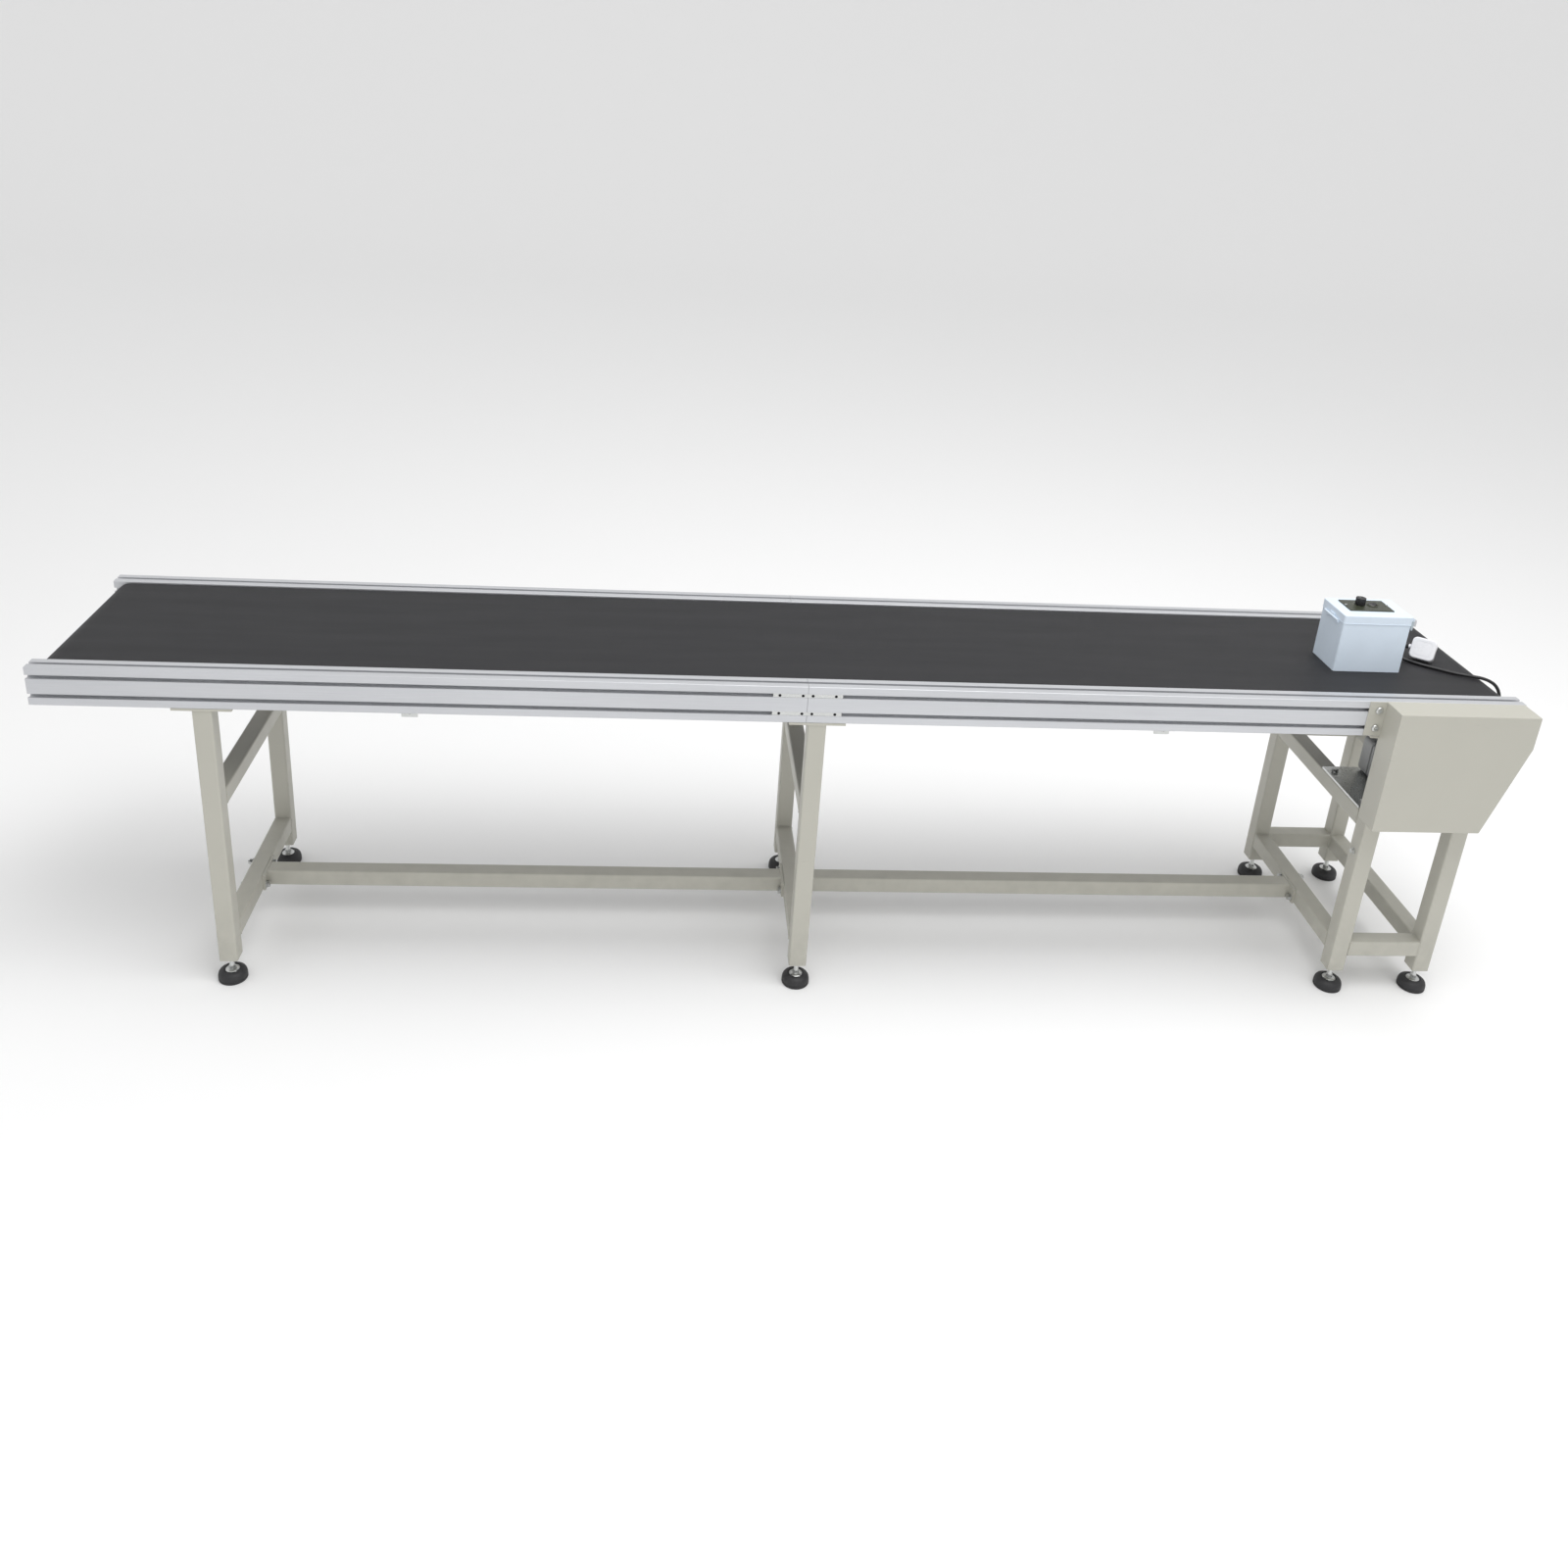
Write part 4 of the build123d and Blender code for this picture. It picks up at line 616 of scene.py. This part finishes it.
def plug_frame():
    """The middle of the plug's pin face, the plug's long direction and the way its cover faces."""
    up = Vector((0, 0, 1))
    along = Vector((math.cos(PLUG_TURN), -math.sin(PLUG_TURN), 0.0))
    toward = Vector((-math.sin(PLUG_TURN), -math.cos(PLUG_TURN), 0.0))
    cover = toward * math.cos(PLUG_TILT) + up * math.sin(PLUG_TILT)
    upward = up * math.cos(PLUG_TILT) - toward * math.sin(PLUG_TILT)
    rest = from_drive([(-0.0742, -0.0254, 0.0003)])[0]
    return rest + upward * PLUG_HALF_W, along, cover


class CONVEYOR_OT_cords(bpy.types.Operator):
    """Lay the mains cord with its coil, and the motor's cable"""

    bl_idname = "conveyor.cords"
    bl_label = "Cords"

    def execute(self, context):
        s = sizes()
        face, along, cover = plug_frame()
        grip = face - along * (PLUG_HALF_L + PLUG_GRIP) + cover * PLUG_HALF_T
        away = grip - along * 0.040
        away.z = BELT_TOP + 0.0175
        leave = from_drive([(-0.1215, 0.074, GROUND + 0.0068), (-0.1240, 0.054, 0.0072)])
        route = from_drive(MAINS_START) + from_drive(coil_points()) + leave + [away, grip]
        mains = cord_curve("mains_cord", route, s.cord_d)
        extras = [coil_tie(), relief("box_relief", route, 0.50, 0.0056, 0.0042),
                  relief("plug_relief", route[::-1], 0.34, 0.0054, 0.0042)]
        for extra in extras:
            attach(extra, "frame")
        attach(mains, "frame")
        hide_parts("mains_cord_box_run", "mains_cord_coil", "mains_cord_plug_run")

        low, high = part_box("drive_motor")
        motor_end = Vector((high.x, low.y + 0.045, (low.z + high.z) / 2 + 0.008))
        lead_route = from_drive(LEAD_POINTS) + [motor_end + Vector(way) for way in LEAD_END_WAYS]
        lead = cord_curve("motor_lead", lead_route, s.cord_d)
        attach(lead, "frame")
        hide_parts("motor_cable")
        return {"FINISHED"}


# ---------------------------------------------------------------- CAD nodes
class CONVEYOR_OT_finishes(bpy.types.Operator):
    """Give every CAD node its finish"""

    bl_idname = "conveyor.finishes"
    bl_label = "Finishes"

    def execute(self, context):
        FINISHES.update(build_finishes())
        for part in frame["record"]["subparts"]:
            dress(NODES[part["node"]], part["material_slot"])
        return {"FINISHED"}


# ---------------------------------------------------------------- levelling feet
class CONVEYOR_OT_feet(bpy.types.Operator):
    """Turn each levelling foot: a ribbed rubber pad, a plated cup with its hexagon and a threaded stud"""

    bl_idname = "conveyor.feet"
    bl_label = "Levelling feet"

    def pad(self, name, centre):
        s = sizes()
        cup = 0.0150
        shoulder = [(s.pad_r - 0.0045 * t**2 - 0.0078 * t**6, 0.008 + 0.0158 * t) for t in
                    (0.0, 0.25, 0.5, 0.7, 0.85, 0.95, 1.0)]
        profile = [(0.0, 0.0012), (0.020, 0.0012), (0.0212, 0.0), (s.pad_r - 0.0016, 0.0),
                   (s.pad_r - 0.0004, 0.0006), (s.pad_r, 0.0020), (s.pad_r, 0.0052),
                   (s.pad_r - 0.0009, 0.0058), (s.pad_r - 0.0009, 0.0066), (s.pad_r, 0.0074), *shoulder,
                   (cup, s.pad_h), (cup, s.pad_h - 0.003), (0.0, s.pad_h - 0.003)]
        return turned(name, profile, centre, 72)

    def stud(self, name, centre, top):
        s = sizes()
        cup = [(0.0, s.pad_h - 0.003), (0.0144, s.pad_h - 0.003), (0.0147, s.pad_h - 0.0026),
               (0.0147, s.pad_h - 0.0012), (0.0139, s.pad_h - 0.0004), (0.0095, s.pad_h + 0.0009),
               (0.0088, s.pad_h + 0.0011), (0.0, s.pad_h + 0.0011)]
        body = turned(name, cup, centre, 48)
        bm = bmesh.new()
        bm.from_mesh(body.data)
        add_hexagon(bm, centre + Vector((0, 0, s.pad_h + 0.001)), 0.0072, 0.0070)
        core = bmesh.ops.create_cone(bm, cap_ends=True, segments=24, radius1=s.stud_r * 0.9,
                                     radius2=s.stud_r * 0.9, depth=top - centre.z - s.pad_h - 0.001)
        bmesh.ops.translate(bm, verts=core["verts"],
                            vec=centre + Vector((0, 0, (top - centre.z + s.pad_h + 0.001) / 2)))
        bm.to_mesh(body.data)
        bm.free()
        start = centre + Vector((0, 0, s.pad_h + 0.008))
        count = int((top - start.z) / s.thread_pitch) - 1
        return TREES["thread"].apply(body, name, {"Radius": s.stud_r, "Pitch": s.thread_pitch, "Count": count,
                                                  "Start": start, "Material": FINISHES["zinc_plated_steel"]})

    def execute(self, context):
        for node in feet():
            low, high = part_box(node)
            centre = Vector(((low.x + high.x) / 2, (low.y + high.y) / 2, low.z))
            pad = self.pad(node.replace("foot_", "pad_"), centre)
            dress(pad, "foot_assembly")
            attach(pad, node)
            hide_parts(node)
            stud = self.stud(node.replace("foot_", "stud_"), centre, high.z)
            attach(stud, node)
        return {"FINISHED"}


def add_hexagon(bm, base, corner, height):
    """A hexagon with chamfered corners standing on base."""
    rings = []
    for radius, z in ((corner * 0.94, 0.0), (corner, 0.0007), (corner, height - 0.0007),
                      (corner * 0.9, height)):
        rings.append([bm.verts.new(base + Vector((radius * math.cos(i * math.pi / 3),
                                                  radius * math.sin(i * math.pi / 3), z))) for i in range(6)])
    for low, high in zip(rings, rings[1:]):
        for i in range(6):
            bm.faces.new((low[i], low[(i + 1) % 6], high[(i + 1) % 6], high[i]))
    bm.faces.new(list(reversed(rings[0])))
    bm.faces.new(rings[-1])


# ---------------------------------------------------------------- welds
def bar_end_lines(x, y, z, normal, half):
    """The four straight seams round the end of a square bar whose end face is at (x, y, z)."""
    flat = half - 0.004
    upright = Vector((0, 0, 1))
    across = Vector((1, 0, 0)) if normal == "Y" else Vector((0, 1, 0))
    centre = Vector((x, y, z))
    lines = []
    for side in (-1, 1):
        for out, along in ((across, upright), (upright, across)):
            seam = centre + out * side * half
            lines.append((seam - along * flat, seam + along * flat))
    return lines


class CONVEYOR_OT_welds(bpy.types.Operator):
    """Run a rippled weld round the ends of the stand's bars"""

    bl_idname = "conveyor.welds"
    bl_label = "Welds"

    half = 0.019              # half of a bar's side
    leg_y = 0.220             # a stand's middle line out to its legs
    upper_z, lower_z = 0.433, 0.113
    sunk = 0.0004             # depth of a seam under the bar's faces
    gap = 0.004               # seam's end to the corner

    def frame_lines(self, node, leg_places):
        low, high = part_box(node)
        mid = (low.y + high.y) / 2
        lines = []
        for x in leg_places:
            for z in (self.upper_z, self.lower_z):
                for side in (-1, 1):
                    y = mid + side * (self.leg_y - self.half)
                    lines += bar_end_lines(x, y, z, "Y", self.half - self.sunk)
            for side in (-1, 1):
                y = mid + side * self.leg_y
                z = high.z - 0.005
                for a, b in (((-1, -1), (1, -1)), ((1, -1), (1, 1)), ((1, 1), (-1, 1)), ((-1, 1), (-1, -1))):
                    first = Vector((x + a[0] * self.half, y + a[1] * self.half, z))
                    second = Vector((x + b[0] * self.half, y + b[1] * self.half, z))
                    trim = (second - first).normalized() * self.gap
                    lines.append((first + trim, second - trim))
        return lines

    def execute(self, context):
        stand_low, stand_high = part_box("drive_stand")
        inner, outer = stand_low.x + 0.0575, stand_high.x - 0.0575
        mid = (stand_low.y + stand_high.y) / 2
        groups = {
            "tail_frame": self.frame_lines("tail_frame", [middle("tail_frame").x]),
            "middle_frame": self.frame_lines("middle_frame", [middle("middle_frame").x]),
            "drive_stand": self.frame_lines("drive_stand", [inner, outer]),
        }
        for side, z in ((1, self.upper_z), (1, self.lower_z), (-1, self.lower_z)):
            for x in (inner + self.half, outer - self.half):
                y = mid + side * self.leg_y
                groups["drive_stand"] += bar_end_lines(x, y, z, "X", self.half - self.sunk)
        low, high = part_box("stretchers")
        groups["stretchers"] = []
        leg = middle("middle_frame").x
        for x in (low.x + 0.005, leg - 0.024, leg + 0.024, high.x - 0.005):
            groups["stretchers"] += bar_end_lines(x, MID_Y, self.lower_z, "X", self.half - self.sunk)
        for number, (node, lines) in enumerate(groups.items()):
            mesh = bpy.data.meshes.new("weld_lines")
            ends = [end for line in lines for end in line]
            mesh.from_pydata(ends, [(i, i + 1) for i in range(0, len(ends), 2)], [])
            values = {"Radius": sizes().weld_r, "Pitch": sizes().weld_pitch, "Seed": number,
                      "Material": FINISHES["powder_coated_steel"]}
            piece = TREES["weld"].apply(mesh_object("weld_lines", mesh), "welds_" + node, values)
            piece.data.shade_smooth()
            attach(piece, "frame")
        return {"FINISHED"}


# ---------------------------------------------------------------- control box details
class CONVEYOR_OT_lid_lip(bpy.types.Operator):
    """Run a small bead round the lower edge of the lid, clear of its hinge and latch"""

    bl_idname = "conveyor.lid_lip"
    bl_label = "Lid lip"

    def run(self, bm, line, height):
        """One bead along a line of places with their outward directions."""
        section = ((-0.0004, 0.0), (0.0003, 0.0), (0.0006, 0.0003), (0.0006, 0.0009),
                   (0.0003, 0.0012), (-0.0004, 0.0012))
        rings = [[bm.verts.new((x + out_x * out, y + out_y * out, height + up)) for out, up in section]
                 for x, y, out_x, out_y in line]
        for first, second in zip(rings, rings[1:]):
            for i in range(len(section)):
                j = (i + 1) % len(section)
                bm.faces.new((first[i], first[j], second[j], second[i]))
        bm.faces.new(rings[0])
        bm.faces.new(rings[-1])

    def execute(self, context):
        low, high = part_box("control_lid")
        half_length, depth, corner = 0.076, 0.019, 0.005
        box_x = middle("control_panel").x + 0.0025
        left, right, front, back = box_x - half_length, box_x + half_length, low.y, high.y
        latch_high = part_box("lid_latch")[1]
        hinge = 0.0315
        centre = (front + back) / 2
        loop = round_corners((left, front), (right, back), corner, 6)
        back_half, front_half = loop[:14], loop[14:]
        back_line = [(right, latch_high.y + 0.001, 1.0, 0.0), *back_half, (left, centre + hinge, -1.0, 0.0)]
        front_line = [(left, centre - hinge, -1.0, 0.0), *front_half]
        bm = bmesh.new()
        for line in (back_line, front_line):
            self.run(bm, line, high.z - depth)
        bmesh.ops.recalc_face_normals(bm, faces=bm.faces)
        lip = object_from(bm, "lid_lip", 35)
        dress(lip, "box_plastic")
        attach(lip, "box_lid")
        return {"FINISHED"}


class CONVEYOR_OT_panel_marks(bpy.types.Operator):
    """Print the scale round the speed knob and set the pointer in the knob"""

    bl_idname = "conveyor.panel_marks"
    bl_label = "Panel marks"

    def execute(self, context):
        s = sizes()
        low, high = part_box("speed_knob")
        knob = Vector(((low.x + high.x) / 2, (low.y + high.y) / 2, high.z))
        panel_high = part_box("control_panel")[1]
        face = panel_high.z - 0.0016
        seed = mesh_object("dial_seed", bpy.data.meshes.new("dial_seed"))
        ticks = TREES["tick"].apply(seed, "dial_scale", {"Radius": s.dial_r, "Count": s.dial_ticks,
                                                         "Bar": (0.0004, 0.0022, 0.0002),
                                                         "Centre": Vector((knob.x, knob.y, face)),
                                                         "Material": FINISHES["dial_print"]})
        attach(ticks, "box_lid")
        bm = bmesh.new()
        bar = bmesh.ops.create_cube(bm, size=1.0)
        bmesh.ops.scale(bm, verts=bar["verts"], vec=(0.0011, 0.0080, 0.0005))
        bmesh.ops.translate(bm, verts=bar["verts"], vec=(knob.x, knob.y + 0.0061, knob.z - 0.00045))
        bmesh.ops.bevel(bm, geom=bm.edges[:], offset=0.00015, segments=2, affect="EDGES")
        pointer = object_from(bm, "knob_pointer", 30)
        dress(pointer, "dial_print")
        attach(pointer, "speed_knob")
        return {"FINISHED"}


# ---------------------------------------------------------------- stage
class CONVEYOR_OT_stage(bpy.types.Operator):
    """Lay the pale floor with its curved back, set soft studio lights and stand the camera"""

    bl_idname = "conveyor.stage"
    bl_label = "Stage"

    def light(self, name, place, target, size, power):
        data = bpy.data.lights.new(name, "AREA")
        data.shape = "RECTANGLE"
        data.size, data.size_y = size
        data.energy = power
        lamp = bpy.data.objects.new(name, data)
        lamp.location = place
        lamp.rotation_euler = (Vector(target) - Vector(place)).to_track_quat("-Z", "Y").to_euler()
        bpy.context.scene.collection.objects.link(lamp)

    def execute(self, context):
        scene = context.scene
        reach, bend_start, bend_r = 60.0, 9.0, 5.0
        line = [(-reach, 0.0)]
        for i in range(13):
            angle = math.radians(7.5 * i)
            line.append((bend_start + bend_r * math.sin(angle), bend_r - bend_r * math.cos(angle)))
        line.append((bend_start + bend_r, 20.0))
        mesh = bpy.data.meshes.new("studio_floor")
        mesh.from_pydata([(side * reach, y, z) for y, z in line for side in (-1, 1)], [],
                         [(2 * i, 2 * i + 1, 2 * i + 3, 2 * i + 2) for i in range(len(line) - 1)])
        mesh.shade_smooth()
        floor = mesh_object("studio_floor", mesh)
        finish = Finish("studio_floor", colours().floor, 0.75)
        finish.roughen(finish.spread(finish.noise(2.0), 0.7, 0.8))
        floor.data.materials.append(finish.material)

        world = bpy.data.worlds.new("studio")
        world.use_nodes = True
        world.node_tree.nodes["Background"].inputs["Color"].default_value = (1.0, 1.0, 1.0, 1.0)
        world.node_tree.nodes["Background"].inputs["Strength"].default_value = 0.80
        scene.world = world
        power = sizes().light_power
        self.light("key_light", (1.0, -0.9, 4.4), (0.2, 0.0, 0.6), (4.0, 2.4), power)
        self.light("front_light", (0.8, -5.0, 1.6), (0.2, 0.0, 0.5), (4.5, 2.0), power * 0.08)
        scene.view_settings.view_transform = "Standard"

        data = bpy.data.cameras.new("studio_camera")
        data.sensor_width = 36.0
        data.lens = 30.56
        data.shift_x, data.shift_y = 0.0119, -0.1287
        data.clip_end = 200.0
        camera = bpy.data.objects.new("studio_camera", data)
        camera.location = (-0.3053, -2.5797, 1.8938)
        camera.rotation_euler = (math.radians(68.305), math.radians(-3.383), math.radians(-3.615))
        scene.collection.objects.link(camera)
        scene.camera = camera
        return {"FINISHED"}


# ---------------------------------------------------------------- add-on
class CONVEYOR_PT_panel(bpy.types.Panel):
    """Lists the steps that dress the conveyor"""

    bl_label = "Belt conveyor section"
    bl_idname = "CONVEYOR_PT_panel"
    bl_space_type = "VIEW_3D"
    bl_region_type = "UI"
    bl_category = "Conveyor"

    def draw(self, context):
        for step in STEPS:
            self.layout.operator(step.bl_idname)


STEPS = (CONVEYOR_OT_finishes, CONVEYOR_OT_cords, CONVEYOR_OT_feet, CONVEYOR_OT_welds,
         CONVEYOR_OT_lid_lip, CONVEYOR_OT_panel_marks, CONVEYOR_OT_stage)
CLASSES = (ConveyorSizes, ConveyorColours, *STEPS, CONVEYOR_PT_panel)
TREES = {}


def register():
    for item in CLASSES:
        bpy.utils.register_class(item)
    bpy.types.Scene.conveyor_sizes = PointerProperty(type=ConveyorSizes)
    bpy.types.Scene.conveyor_colours = PointerProperty(type=ConveyorColours)


def unregister():
    del bpy.types.Scene.conveyor_colours
    del bpy.types.Scene.conveyor_sizes
    for item in reversed(CLASSES):
        bpy.utils.unregister_class(item)


def main():
    register()
    TREES.update(weld=weld_tree(), thread=thread_tree(), tick=tick_tree())
    bpy.ops.conveyor.finishes()
    bpy.ops.conveyor.cords()
    bpy.ops.conveyor.feet()
    bpy.ops.conveyor.welds()
    bpy.ops.conveyor.lid_lip()
    bpy.ops.conveyor.panel_marks()
    bpy.ops.conveyor.stage()


if __name__ == "__main__":
    main()
